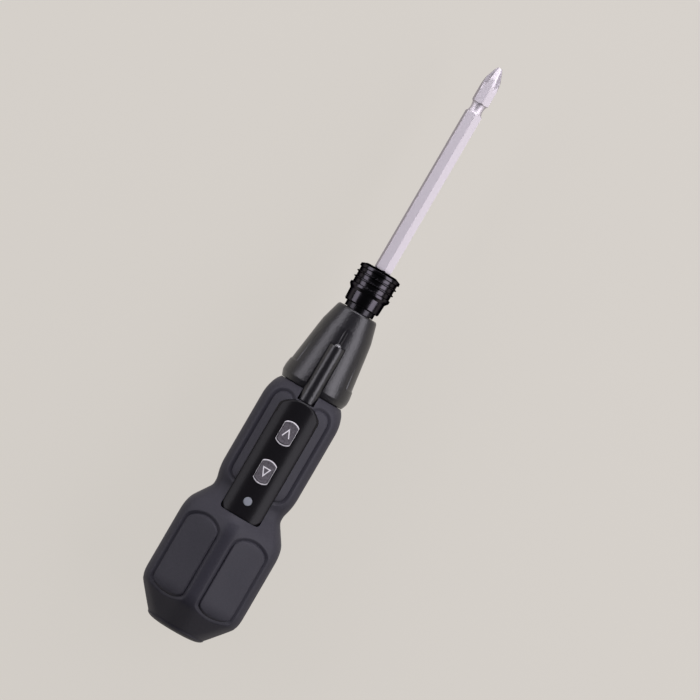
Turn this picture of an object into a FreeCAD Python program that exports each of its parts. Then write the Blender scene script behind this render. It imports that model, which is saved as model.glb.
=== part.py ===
"""Electric screwdriver: one assembly of separate pieces, in millimetres.

X runs along the spindle from the butt to the tip, Z points out of the button side, and the
origin is the middle of the charging port's mouth, on the spindle's axis.
"""

import FreeCAD
import Part
import Sketcher
import math
import os
import re

DIMENSIONS = [
    ("overrun", 60),
    ("butt_rim_x", 2.4),
    ("butt_rim_r", 12.5),
    ("chamfer_x", 12.2),
    ("chamfer_flat", 20.3),
    ("chamfer_r", 22.0),
    ("bulb_rear_x", 17.2),
    ("bulb_flat", 21.1),
    ("bulb_r", 23.1),
    ("bulb_front_x", 42.6),
    ("shoulder_x", 48.6),
    ("shoulder_flat", 20.0),
    ("shoulder_r", 21.7),
    ("waist_rear_x", 56.4),
    ("waist_flat", 14.8),
    ("waist_r", 15.9),
    ("waist_front_x", 59.4),
    ("body_rear_x", 67.4),
    ("body_flat", 16.2),
    ("body_r", 17.6),
    ("body_front_x", 96.4),
    ("brow_x", 104.0),
    ("brow_flat", 14.5),
    ("brow_r", 15.2),
    ("seam_x", 105.7),
    ("seam_r", 13.3),
    ("wall", 2.0),
    ("cavity_rear_x", 4.4),
    ("cavity_rear_r", 11.6),
    ("cavity_front_x", 103.0),
    ("cavity_front_r", 12.9),
    ("rear_hole_r", 10.1),
    ("front_hole_r", 11.6),
    ("bulb_pad_rear_x", 14.2),
    ("bulb_pad_front_x", 41.8),
    ("bulb_pad_half", 8.1),
    ("bulb_pad_rear_bow", 2.2),
    ("bulb_pad_front_bow", 3.4),
    ("body_pad_rear_x", 66.8),
    ("body_pad_front_x", 97.3),
    ("body_pad_half", 5.2),
    ("body_pad_rear_bow", 4.4),
    ("body_pad_front_bow", 4.4),
    ("groove_wide", 1.2),
    ("groove_deep", 0.5),
    ("panel_rear_x", 51.0),
    ("panel_front_x", 97.0),
    ("panel_half", 8.5),
    ("panel_tip_bow", 4.2),
    ("panel_bow", 13.2),
    ("panel_top", 17.2),
    ("panel_thick", 1.5),
    ("panel_gap", 0.15),
    ("window_rear_x", 61.5),
    ("window_front_x", 96.0),
    ("window_half", 6.3),
    ("forward_x", 87.8),
    ("reverse_x", 70.8),
    ("button_half_long", 4.35),
    ("button_half_wide", 2.8),
    ("button_end_bow", 1.0),
    ("button_rise", 0.5),
    ("button_gap", 0.15),
    ("button_lip", 0.75),
    ("button_lip_top", 14.6),
    ("button_lip_thick", 0.8),
    ("stem_r", 1.5),
    ("bezel_wide", 0.4),
    ("bezel_gap", 0.05),
    ("bezel_rise", 0.12),
    ("board_low", 9.4),
    ("board_thick", 1.2),
    ("board_half", 7.0),
    ("board_rear_x", 54.5),
    ("board_front_x", 99.0),
    ("rail_rear_x", 66.5),
    ("rail_inner", 5.6),
    ("rail_thick", 1.0),
    ("switch_half", 3.0),
    ("switch_tall", 1.7),
    ("switch_floor", 0.15),
    ("plunger_r", 1.6),
    ("plunger_gap", 0.1),
    ("plunger_long", 1.6),
    ("plunger_tall", 2.3),
    ("indicator_x", 57.8),
    ("indicator_r", 1.7),
    ("indicator_gap", 0.1),
    ("indicator_drop", 0.05),
    ("cap_flat_r", 5.5),
    ("cap_neck_r", 10.0),
    ("cap_flange_r", 11.0),
    ("cap_flange_rear_x", 4.5),
    ("cap_flange_front_x", 6.0),
    ("cap_inner_r", 8.6),
    ("port_half_wide", 4.6),
    ("port_half_tall", 1.75),
    ("usb_half_wide", 4.47),
    ("usb_half_tall", 1.63),
    ("usb_wall", 0.3),
    ("usb_rear_x", 0.4),
    ("usb_front_x", 7.7),
    ("usb_tongue_half", 3.35),
    ("usb_tongue_thick", 0.7),
    ("usb_tongue_rear_x", 1.4),
    ("charge_rear_x", 2.6),
    ("charge_front_x", 13.0),
    ("charge_half", 8.0),
    ("charge_thick", 1.0),
    ("cell_r", 9.15),
    ("cell_edge", 0.6),
    ("cell_rear_x", 14.5),
    ("cell_front_x", 64.0),
    ("cell_button_r", 3.2),
    ("cell_button_front_x", 64.8),
    ("cell_gap", 0.05),
    ("tab_thick", 0.3),
    ("tab_half_wide", 3.0),
    ("tab_half_tall", 4.0),
    ("cell_rib_rear_x", 20.0),
    ("cell_rib_front_x", 44.0),
    ("rib_thick", 2.0),
    ("motor_rib_rear_x", 79.0),
    ("motor_rib_front_x", 88.0),
    ("bulb_screw_x", 32.0),
    ("bulb_screw_y", 14.5),
    ("bulb_screw_seat", 9.0),
    ("middle_screw_x", 68.4),
    ("middle_screw_y", 11.2),
    ("middle_screw_seat", 6.0),
    ("front_screw_x", 94.0),
    ("front_screw_y", 12.5),
    ("front_screw_seat", 6.0),
    ("boss_r", 2.2),
    ("boss_top", 8.0),
    ("screw_head_r", 1.6),
    ("screw_head_tall", 1.3),
    ("screw_r", 0.9),
    ("screw_reach", 6.5),
    ("screw_gap", 0.1),
    ("flange_rear_x", 100.5),
    ("flange_front_x", 102.9),
    ("flange_r", 12.7),
    ("nose_neck_r", 11.5),
    ("nose_rear_x", 105.9),
    ("nose_rear_r", 13.2),
    ("nose_lip_x", 108.4),
    ("nose_band_x", 110.6),
    ("nose_band_r", 14.15),
    ("nose_kink_x", 133.3),
    ("nose_kink_r", 10.6),
    ("nose_edge_x", 140.9),
    ("nose_edge_r", 8.5),
    ("nose_front_x", 141.5),
    ("nose_front_r", 7.9),
    ("nose_hole_r", 5.4),
    ("gear_bore_r", 10.55),
    ("gear_bore_front_x", 121.6),
    ("bush_pocket_r", 8.2),
    ("recess_rear_x", 113.4),
    ("recess_front_x", 130.0),
    ("recess_deep", 0.35),
    ("rib_rear_x", 101.4),
    ("rib_front_x", 126.1),
    ("rib_rear_half", 3.5),
    ("rib_front_half", 3.05),
    ("rib_rear_top", 16.4),
    ("rib_front_top", 15.0),
    ("rib_base", 11.2),
    ("light_z", 12.5),
    ("light_r", 1.5),
    ("light_gap", 0.05),
    ("light_rear_x", 121.0),
    ("light_dome_x", 125.6),
    ("wire_way_r", 1.0),
    ("channel_r", 1.05),
    ("channel_z", 11.55),
    ("channel_front_x", 135.0),
    ("bell_rear_x", 72.5),
    ("can_rear_x", 76.0),
    ("can_front_x", 101.0),
    ("can_r", 10.2),
    ("can_flat", 7.75),
    ("can_wall", 0.7),
    ("can_gap", 0.05),
    ("magnet_inner_r", 6.7),
    ("magnet_rear_x", 80.5),
    ("magnet_front_x", 98.0),
    ("magnet_apart", 2.2),
    ("rear_bush_r", 2.5),
    ("rear_bush_front_x", 75.5),
    ("front_bush_r", 3.0),
    ("front_bush_rear_x", 98.6),
    ("front_bush_front_x", 102.2),
    ("brush_inner_y", 2.55),
    ("brush_outer_y", 5.5),
    ("brush_half_tall", 1.0),
    ("brush_front_x", 79.6),
    ("shaft_r", 1.0),
    ("shaft_gap", 0.03),
    ("shaft_rear_x", 72.0),
    ("shaft_front_x", 109.8),
    ("commutator_r", 2.5),
    ("commutator_rear_x", 76.6),
    ("commutator_front_x", 80.2),
    ("core_r", 6.4),
    ("core_rear_x", 82.0),
    ("core_front_x", 96.0),
    ("slot_r", 2.0),
    ("slot_ring_r", 4.2),
    ("slot_mouth", 1.2),
    ("winding_r", 5.6),
    ("winding_inner_r", 1.8),
    ("winding_long", 1.5),
    ("plate_r", 10.45),
    ("plate_front_x", 103.4),
    ("plate_hole_r", 3.1),
    ("motor_screw_y", 6.5),
    ("motor_screw_r", 0.95),
    ("motor_screw_head_r", 1.8),
    ("motor_screw_head_tall", 1.1),
    ("motor_screw_rear_x", 99.2),
    ("gear_module", 0.5),
    ("gear_backlash", 0.06),
    ("gear_long", 4.4),
    ("pinion_rear_x", 104.8),
    ("first_planet_x", 105.1),
    ("first_carrier_x", 109.9),
    ("carrier_thick", 1.8),
    ("carrier_r", 7.2),
    ("carrier_gap", 0.3),
    ("second_sun_long", 5.0),
    ("second_carrier_x", 117.2),
    ("second_carrier_thick", 3.0),
    ("planet_bore_r", 1.04),
    ("pin_r", 1.0),
    ("tail_flats", 6.0),
    ("tail_gap", 0.08),
    ("spindle_shoulder_x", 120.4),
    ("spindle_r", 5.0),
    ("bush_bore_r", 5.05),
    ("bush_r", 7.0),
    ("bush_flange_r", 8.0),
    ("bush_rear_x", 124.8),
    ("bush_flange_front_x", 126.0),
    ("bush_front_x", 140.0),
    ("clip_x", 123.9),
    ("clip_thick", 0.8),
    ("clip_r", 6.6),
    ("clip_inner_r", 4.3),
    ("clip_gap", 0.05),
    ("clip_mouth", 3.4),
    ("neck_rear_x", 141.7),
    ("neck_r", 6.15),
    ("spring_seat_x", 146.0),
    ("chuck_r", 5.2),
    ("mouth_x", 159.6),
    ("socket_flats", 6.45),
    ("socket_floor_x", 139.9),
    ("magnet_r", 2.4),
    ("magnet_long", 3.0),
    ("ball_x", 157.0),
    ("ball_r", 1.25),
    ("ball_ring_r", 4.45),
    ("ball_gap", 0.05),
    ("ring_x", 158.6),
    ("ring_thick", 0.6),
    ("ring_r", 6.1),
    ("ring_inner_r", 4.65),
    ("sleeve_rear_x", 143.7),
    ("sleeve_bore_r", 6.25),
    ("sleeve_edge_r", 6.95),
    ("sleeve_skirt_x", 144.2),
    ("sleeve_skirt_r", 7.35),
    ("sleeve_step_x", 148.6),
    ("sleeve_step_r", 7.55),
    ("sleeve_ramp_x", 149.9),
    ("crest_r", 8.6),
    ("valley_deep", 0.5),
    ("crest_one_x", 151.0),
    ("crest_two_x", 153.1),
    ("crest_three_x", 155.5),
    ("crest_four_x", 157.7),
    ("crest_wide", 0.4),
    ("sleeve_brow_x", 158.9),
    ("sleeve_brow_r", 8.5),
    ("sleeve_front_x", 159.85),
    ("sleeve_mouth_r", 6.3),
    ("cone_front_x", 158.4),
    ("cone_front_r", 6.07),
    ("cone_rear_x", 155.4),
    ("cone_rear_r", 5.4),
    ("spring_front_x", 152.4),
    ("spring_r", 5.72),
    ("spring_wire_r", 0.3),
    ("spring_pitch", 1.4),
    ("bit_gap", 0.1),
    ("bit_half_long", 55.0),
    ("bit_flats", 6.35),
    ("bit_tip_r", 0.7),
    ("bit_cone_long", 2.8),
    ("bit_cone_r", 2.05),
    ("bit_ogive_long", 5.0),
    ("bit_ogive_r", 3.0),
    ("bit_turned_long", 9.0),
    ("bit_turned_r", 3.75),
    ("bit_neck_front", 15.2),
    ("bit_neck_rear", 20.4),
    ("bit_neck_step", 0.7),
    ("bit_neck_r", 2.95),
    ("bit_neck_bow", 0.35),
    ("flute_long", 9.4),
    ("flute_root_r", 0.55),
    ("flute_end_r", 3.35),
    ("flute_outer_r", 5.2),
]

SUN_TEETH = 9
PLANET_TEETH = 12
RING_TEETH = 33
PRESSURE_ANGLE = math.radians(25)
ADDENDUM_SHARE = 0.9
DEDENDUM_SHARE = 1.2
RING_TIP_SHARE = 0.8
PLANET_COUNT = 3
BIT_TURN = -17.3
FLATS = 6
HALF_FLAT = math.cos(math.pi / FLATS)
RECESS_SPREAD = 72
FLUTE_COUNT = 4
HALF_ROUND = "half round"

os.makedirs("parts", exist_ok=True)
doc = FreeCAD.newDocument("electric_screwdriver")
sheet = doc.addObject("Spreadsheet::Sheet", "dims")
for row, (alias, number) in enumerate(DIMENSIONS, 1):
    sheet.set(f"A{row}", alias)
    sheet.set(f"B{row}", str(number))
    sheet.setAlias(f"B{row}", alias)
doc.recompute()

NAMES = {alias for alias, number in DIMENSIONS}
Vector = FreeCAD.Vector
X_AXIS = Vector(1, 0, 0)
Y_AXIS = Vector(0, 1, 0)
Z_AXIS = Vector(0, 0, 1)
sub_parts = []


def bound(text):
    """The expression with each dimension's name pointed at its cell."""
    return re.sub(r"[a-z_]+", lambda m: "dims." + m[0] if m[0] in NAMES else m[0], text)


def size(text):
    return float(sheet.evalExpression(bound(text)))


def bind(thing, **sizes):
    for name, text in sizes.items():
        thing.setExpression(name, bound(text))


def place(thing, x="0", y="0", z="0", turn=None):
    """Puts a document object at named lengths, with an optional fixed turn."""
    thing.Placement = FreeCAD.Placement(Vector(), turn or FreeCAD.Rotation())
    for axis, text in (("x", x), ("y", y), ("z", z)):
        thing.setExpression(f"Placement.Base.{axis}", bound(text))
    return thing


def keep(label, thing):
    """Marks a document object as one of the pieces that are written out."""
    thing.Label = label
    sub_parts.append(thing)
    return thing


def arc_between(start, end, radius, side):
    """The counter-clockwise arc through both points that bows to the left (1) or right (-1)."""
    chord = end - start
    left = Vector(-chord.y, chord.x, 0).normalize()
    away = math.sqrt(max(radius**2 - (chord.Length / 2) ** 2, 0))
    centre = (start + end) * 0.5 - left * (away * side)
    first, last = (end, start) if side > 0 else (start, end)
    angles = [math.atan2(p.y - centre.y, p.x - centre.x) for p in (first, last)]
    circle = Part.Circle(centre, Z_AXIS, radius)
    return Part.ArcOfCircle(circle, angles[0], angles[1])


def pin_point(sketch, vertex, kind, text, at):
    """Holds one coordinate of a point of a sketch at a named length."""
    pair = (*vertex, -1, 1) if at < 0 else (-1, 1, *vertex)
    index = sketch.addConstraint(Sketcher.Constraint(kind, *pair, abs(at)))
    if text != "0":
        sign = "-" if at < 0 else ""
        sketch.setExpression(f"Constraints[{index}]", bound(f"{sign}({text})"))


def draw(sketch, corners):
    """Draws one closed outline, every corner held by its two named coordinates.

    A corner is (x, y) or (x, y, radius, side): the side that leaves it is then an arc, and a
    radius of HALF_ROUND makes that arc half a circle on a level or upright chord.
    """
    first = sketch.GeometryCount
    points = [Vector(size(c[0]), size(c[1]), 0) for c in corners]
    ends = []
    for i, corner in enumerate(corners):
        start, end = points[i], points[(i + 1) % len(points)]
        if len(corner) == 2:
            sketch.addGeometry(Part.LineSegment(start, end))
            ends.append((1, 2))
        else:
            half = (end - start).Length / 2
            radius = half if corner[2] == HALF_ROUND else size(corner[2])
            sketch.addGeometry(arc_between(start, end, radius, corner[3]))
            ends.append((2, 1) if corner[3] > 0 else (1, 2))
    for i in range(len(corners)):
        j = (i + 1) % len(corners)
        joint = (first + i, ends[i][1], first + j, ends[j][0])
        sketch.addConstraint(Sketcher.Constraint("Coincident", *joint))
    for i, corner in enumerate(corners):
        vertex = (first + i, ends[i][0])
        pin_point(sketch, vertex, "DistanceX", corner[0], points[i].x)
        pin_point(sketch, vertex, "DistanceY", corner[1], points[i].y)
        if len(corner) == 2:
            continue
        if corner[2] == HALF_ROUND:
            chord = points[(i + 1) % len(points)] - points[i]
            if abs(chord.x) < abs(chord.y):
                pin_point(sketch, (first + i, 3), "DistanceX", corner[0], points[i].x)
            else:
                pin_point(sketch, (first + i, 3), "DistanceY", corner[1], points[i].y)
        else:
            index = sketch.addConstraint(Sketcher.Constraint("Radius", first + i, size(corner[2])))
            sketch.setExpression(f"Constraints[{index}]", bound(corner[2]))


def level_radius(low, high):
    """Radius of the arc through two corners that runs level, along X, at the higher one."""
    along = f"(({high[0]}) - ({low[0]}))"
    rise = f"(({high[1]}) - ({low[1]}))"
    return f"({along} ^ 2 + {rise} ^ 2) / (2 * {rise})"


def bow_radius(half, bow):
    return f"(({half}) ^ 2 + ({bow}) ^ 2) / (2 * ({bow}))"


def free_sketch(name, corners, turn=None):
    sketch = doc.addObject("Sketcher::SketchObject", name)
    sketch.Placement = FreeCAD.Placement(Vector(), turn or FreeCAD.Rotation())
    draw(sketch, corners)
    return sketch


def extrude(name, sketch, forward, back="0"):
    solid = doc.addObject("Part::Extrusion", name)
    solid.Base = sketch
    solid.DirMode = "Normal"
    solid.Solid = True
    bind(solid, LengthFwd=forward, LengthRev=back)
    return solid


def revolve(name, sketch):
    solid = doc.addObject("Part::Revolution", name)
    solid.Source = sketch
    solid.Axis = X_AXIS
    solid.Angle = 360
    solid.Solid = True
    return solid


def cut(name, base, tool):
    solid = doc.addObject("Part::Cut", name)
    solid.Base = base
    solid.Tool = tool
    return solid


def common(name, *shapes):
    solid = doc.addObject("Part::MultiCommon", name)
    solid.Shapes = list(shapes)
    return solid


def fuse(name, *shapes):
    solid = doc.addObject("Part::MultiFuse", name)
    solid.Shapes = list(shapes)
    return solid


def group(name, *shapes):
    solid = doc.addObject("Part::Compound", name)
    solid.Links = list(shapes)
    return solid


def box(name, x, y, z):
    """A box from three (low, high) pairs of named lengths."""
    solid = doc.addObject("Part::Box", name)
    bind(solid, Length=f"({x[1]}) - ({x[0]})", Width=f"({y[1]}) - ({y[0]})", Height=f"({z[1]}) - ({z[0]})")
    return place(solid, x[0], y[0], z[0])


def rod_x(name, radius, rear, front, y="0", z="0"):
    """A cylinder along X."""
    solid = doc.addObject("Part::Cylinder", name)
    bind(solid, Radius=radius, Height=f"({front}) - ({rear})")
    return place(solid, rear, y, z, FreeCAD.Rotation(Y_AXIS, 90))


def rod_z(name, radius, x, y, low, high):
    """A cylinder along Z."""
    solid = doc.addObject("Part::Cylinder", name)
    bind(solid, Radius=radius, Height=f"({high}) - ({low})")
    return place(solid, x, y, low)


def tube_x(name, outer, inner, rear, front):
    return cut(name, rod_x(name + "_outer", outer, rear, front), rod_x(name + "_bore", inner, rear, front))


def plane(body, role):
    return next(f for f in body.Origin.OriginFeatures if f.Role == role)


def body_sketch(body, name, role, corners, offset="0", turn=0):
    sketch = body.newObject("Sketcher::SketchObject", name)
    sketch.AttachmentSupport = [(plane(body, role), "")]
    sketch.MapMode = "FlatFace"
    sketch.AttachmentOffset = FreeCAD.Placement(Vector(), FreeCAD.Rotation(Z_AXIS, turn))
    if offset != "0":
        sketch.setExpression("AttachmentOffset.Base.z", bound(offset))
    draw(sketch, corners)
    return sketch


def turned(label, corners):
    """A body turned about the X axis from its half section."""
    body = doc.addObject("PartDesign::Body", label)
    sketch = body_sketch(body, label + "_section", "XY_Plane", corners)
    feature = body.newObject("PartDesign::Revolution", label + "_turning")
    feature.Profile = sketch
    feature.ReferenceAxis = (sketch, ["H_Axis"])
    feature.Angle = 360
    return body


def bored(body, name, corners, offset, depth, backward=True, turn=0):
    """Cuts an outline in the YZ plane out of a body, from an offset along X."""
    sketch = body_sketch(body, name + "_outline", "YZ_Plane", corners, offset, turn)
    doc.recompute()
    before = body.Shape.Volume
    feature = body.newObject("PartDesign::Pocket", name)
    feature.Profile = sketch
    feature.Reversed = not backward
    bind(feature, Length=depth)
    doc.recompute()
    if not before > body.Shape.Volume:
        raise ValueError(f"{name} removes nothing")
    return feature


def regular(radius, count, lead=0):
    """Corners of a regular outline; the radius is a named length."""
    corners = []
    for i in range(count):
        angle = math.radians(lead) + 2 * math.pi * i / count
        corners.append((f"({radius}) * {math.cos(angle):.12f}", f"({radius}) * {math.sin(angle):.12f}"))
    return corners


def round_outline(radius, y="0", z="0"):
    """A circle as two arcs."""
    return [
        (f"({y}) - ({radius})", z, HALF_ROUND, -1),
        (f"({y}) + ({radius})", z, HALF_ROUND, -1),
    ]


def hexagon(flats):
    return regular(f"({flats}) / 2 / {HALF_FLAT:.12f}", FLATS, 0)


def stadium(half_wide, half_tall):
    """A slot outline, wide along its first axis, with half-round ends."""
    straight = f"({half_wide}) - ({half_tall})"
    return [
        (f"-({straight})", f"-({half_tall})"),
        (straight, f"-({half_tall})", HALF_ROUND, -1),
        (straight, half_tall),
        (f"-({straight})", half_tall, HALF_ROUND, -1),
    ]


def barrel(middle, half_long, half_wide, bow, grow="0"):
    """Straight sides along X and ends that bow outward."""
    side = f"(({half_wide}) + ({grow}))"
    end = f"(({half_long}) - ({bow}) + ({grow}))"
    radius = bow_radius(side, bow)
    return [
        (f"({middle}) - {end}", f"-{side}"),
        (f"({middle}) + {end}", f"-{side}", radius, -1),
        (f"({middle}) + {end}", side),
        (f"({middle}) - {end}", side, radius, -1),
    ]


def pad_outline(rear, front, half, rear_bow, front_bow, grow):
    """A grip pad's plan: straight sides and two bowed ends."""
    side = f"(({half}) + ({grow}))"
    return [
        (rear, f"-{side}"),
        (front, f"-{side}", bow_radius(side, f"{front_bow} + ({grow})"), -1),
        (front, side),
        (rear, side, bow_radius(side, f"{rear_bow} + ({grow})"), -1),
    ]


def handle_profile(kind, inset):
    """The grip's edge from butt to seam: kind is flat for the facets and r for the turned ribs."""

    def at(station, half):
        return (f"{station}_x", f"{half} - ({inset})")

    chamfer = at("chamfer", f"chamfer_{kind}")
    bulb_rear = at("bulb_rear", f"bulb_{kind}")
    bulb_front = at("bulb_front", f"bulb_{kind}")
    shoulder = at("shoulder", f"shoulder_{kind}")
    waist_front = at("waist_front", f"waist_{kind}")
    body_rear = at("body_rear", f"body_{kind}")
    body_front = at("body_front", f"body_{kind}")
    brow = at("brow", f"brow_{kind}")
    return [
        at("butt_rim", "butt_rim_r"),
        (*chamfer, level_radius(chamfer, bulb_rear), 1),
        bulb_rear,
        (*bulb_front, level_radius(shoulder, bulb_front), 1),
        shoulder,
        at("waist_rear", f"waist_{kind}"),
        (*waist_front, level_radius(waist_front, body_rear), 1),
        body_rear,
        (*body_front, level_radius(brow, body_front), 1),
        brow,
        at("seam", "seam_r"),
    ]


def mirrored(profile):
    """The same edge on the other side of the axis, walked back."""
    corners = []
    for i in range(len(profile) - 1, -1, -1):
        corner = (profile[i][0], f"-({profile[i][1]})")
        if i and len(profile[i - 1]) == 4:
            corner = (*corner, profile[i - 1][2], 1)
        corners.append(corner)
    return corners


def handle_form(name, inset, trim):
    """The grip's form: three pairs of facets and a turned round, taken in by an inset."""
    facets = trim(handle_profile("flat", inset))
    outline = facets + mirrored(facets)
    solids = []
    for k in range(FLATS // 2):
        turn = FreeCAD.Rotation(X_AXIS, 360 * k / FLATS)
        sketch = free_sketch(f"{name}_facets_{k}", outline, turn)
        solids.append(extrude(f"{name}_slab_{k}", sketch, "overrun", "overrun"))
    ribs = trim(handle_profile("r", inset))
    axis = [(ribs[-1][0], "0"), (ribs[0][0], "0")]
    solids.append(revolve(f"{name}_round", free_sketch(f"{name}_ribs", ribs + axis)))
    return common(name, *solids)


def cavity_trim(profile):
    """The hollow starts behind the rear wall and ends at the nose's flange."""
    rear = ("cavity_rear_x", "cavity_rear_r")
    body_front = profile[8][:2]
    front = ("cavity_front_x", "cavity_front_r")
    bowed = (*body_front, level_radius(front, body_front), 1)
    return [rear, *profile[1:8], bowed, front]


def pad_grooves(floor):
    """The grooves round the grip pads, all to one depth below the surface."""
    rings = []
    for zone in ("bulb", "body"):
        spans = [f"{zone}_pad_{end}" for end in ("rear_x", "front_x", "half", "rear_bow", "front_bow")]
        for k in range(FLATS):
            turn = FreeCAD.Rotation(X_AXIS, 360 * (k + 0.5) / FLATS)
            sketch = free_sketch(f"{zone}_pad_{k}", pad_outline(*spans, "groove_wide / 2"), turn)
            draw(sketch, pad_outline(*spans, "-groove_wide / 2"))
            rings.append(extrude(f"{zone}_pad_ring_{k}", sketch, "overrun"))
    return cut("pad_grooves", group("pad_rings", *rings), floor)


SCREW_SITES = [("bulb", 1), ("bulb", -1), ("middle", 1), ("middle", -1), ("front", 1), ("front", -1)]


def screw_site(zone, side):
    return f"{zone}_screw_x", f"{side} * {zone}_screw_y"


def shell_inside(cavity):
    """The hollow, less the ribs, rails and screw bosses that stay in the shells."""
    ribs = []
    for name, station in (("rear", "cell_rib_rear_x"), ("front", "cell_rib_front_x")):
        slab = box(
            f"cell_rib_{name}",
            (station, f"{station} + rib_thick"),
            ("-overrun", "overrun"),
            ("-overrun", "overrun"),
        )
        span = (f"{station} - rib_thick", f"{station} + 2 * rib_thick")
        bore = rod_x(f"cell_rib_{name}_bore", "cell_r + cell_gap", *span)
        ribs.append(cut(f"cell_rib_{name}_cut", slab, bore))
    for name, station in (("rear", "motor_rib_rear_x"), ("front", "motor_rib_front_x")):
        slab = box(
            f"motor_rib_{name}",
            (station, f"{station} + rib_thick"),
            ("-overrun", "overrun"),
            ("-overrun", "board_low - rail_thick"),
        )
        span = (f"{station} - rib_thick", f"{station} + 2 * rib_thick")
        bore = rod_x(f"motor_rib_{name}_bore", "can_r + can_gap", *span)
        ribs.append(cut(f"motor_rib_{name}_cut", slab, bore))
    for side in (1, -1):
        low, high = ("rail_inner", "overrun") if side > 0 else ("-overrun", "-rail_inner")
        rail = (("rail_rear_x", "board_front_x"), (low, high), ("board_low - rail_thick", "board_low"))
        ribs.append(box(f"board_rail_{'left' if side > 0 else 'right'}", *rail))
    for k, (zone, side) in enumerate(SCREW_SITES):
        top = "overrun" if zone == "bulb" else "boss_top"
        ribs.append(rod_z(f"boss_{k}", "boss_r", *screw_site(zone, side), "-overrun", top))
    return cut("shell_inside", cavity, fuse("shell_ribs", *ribs))


def screws():
    solids = []
    for k, (zone, side) in enumerate(SCREW_SITES):
        spot = screw_site(zone, side)
        seat = f"-{zone}_screw_seat"
        head = rod_z(f"screw_head_{k}", "screw_head_r", *spot, f"{seat} - screw_head_tall", seat)
        shank = rod_z(f"screw_shank_{k}", "screw_r", *spot, seat, "screw_reach")
        solids.append(fuse(f"screw_{k}", head, shank))
    return keep("housing_screws", group("housing_screws", *solids))


def panel_round(name, radius):
    """The panel's section as a cylinder along X, at a given radius."""
    return rod_x(name, radius, "0", "seam_x + overrun", "0", "panel_top - panel_bow")


def panel_plan(grow):
    side = f"(panel_half + ({grow}))"
    bow = f"(panel_tip_bow + ({grow}))"
    return [
        (f"panel_rear_x - ({grow})", f"-{side}"),
        ("panel_front_x", f"-{side}", bow_radius(side, bow), -1),
        ("panel_front_x", side),
        (f"panel_rear_x - ({grow})", side),
    ]


def button_plan(middle, grow):
    return barrel(middle, "button_half_long", "button_half_wide", "button_end_bow", grow)


def tongue_plan(half, top, gap):
    """The light housing's section: straight sides and a round top."""
    wide = f"({half} + ({gap}))"
    return [
        (f"-{wide}", f"rib_base - ({gap})"),
        (wide, f"rib_base - ({gap})"),
        (wide, f"{top} - {half}", HALF_ROUND, -1),
        (f"-{wide}", f"{top} - {half}"),
    ]


YZ_TURN = FreeCAD.Rotation(Vector(1, 1, 1), 120)


def shells():
    """The two half shells of the grip, parted level with the axis."""
    outer = handle_form("grip_form", "0", list)
    floor = handle_form("grip_groove_floor", "groove_deep", list)
    cavity = handle_form("grip_cavity", "wall", cavity_trim)
    grip = cut("grip_grooved", outer, pad_grooves(floor))
    inside = shell_inside(cavity)
    rear_hole = rod_x("grip_rear_hole", "rear_hole_r", "0", "cavity_rear_x + wall")
    front_hole = rod_x("grip_front_hole", "front_hole_r", "cavity_front_x - wall", "seam_x + wall")
    emptied = cut("grip_emptied", grip, inside)
    hollow = cut("grip_hollow", emptied, group("grip_openings", rear_hole, front_hole))
    every = ("-overrun", "seam_x + overrun")
    wide = ("-overrun", "overrun")
    top_half = common("grip_top", hollow, box("grip_top_half", every, wide, ("0", "overrun")))
    low_half = common("grip_low", hollow, box("grip_low_half", every, wide, ("-overrun", "0")))

    bed = cut(
        "panel_bed",
        extrude("panel_bed_prism", free_sketch("panel_bed_plan", panel_plan("panel_gap")), "overrun"),
        panel_round("panel_bed_round", "panel_bow - panel_thick - panel_gap"),
    )
    window = box(
        "panel_window",
        ("window_rear_x", "window_front_x"),
        ("-window_half", "window_half"),
        ("board_low", "overrun"),
    )
    pipe_way = rod_z("pipe_way", "indicator_r + indicator_gap", "indicator_x", "0", "board_low", "overrun")
    slot_plan = tongue_plan("rib_rear_half", "rib_rear_top", "panel_gap")
    slot_sketch = free_sketch("tongue_slot_plan", slot_plan, YZ_TURN)
    slot = extrude("tongue_slot", slot_sketch, "seam_x + wall", "-(rib_rear_x - panel_gap)")
    top_tools = [bed, window, pipe_way, slot]
    low_tools = []
    for k, (zone, side) in enumerate(SCREW_SITES):
        spot = screw_site(zone, side)
        seat = f"-{zone}_screw_seat"
        top_tools.append(rod_z(f"pilot_{k}", "screw_r", *spot, "0", "screw_reach + screw_gap"))
        low_tools.append(rod_z(f"way_{k}", "screw_r + screw_gap", *spot, "-overrun", "0"))
        low_tools.append(rod_z(f"sink_{k}", "screw_head_r + screw_gap", *spot, "-overrun", seat))
    keep("upper_shell", cut("upper_shell", top_half, fuse("top_tools", *top_tools)))
    keep("lower_shell", cut("lower_shell", low_half, fuse("low_tools", *low_tools)))


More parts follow.
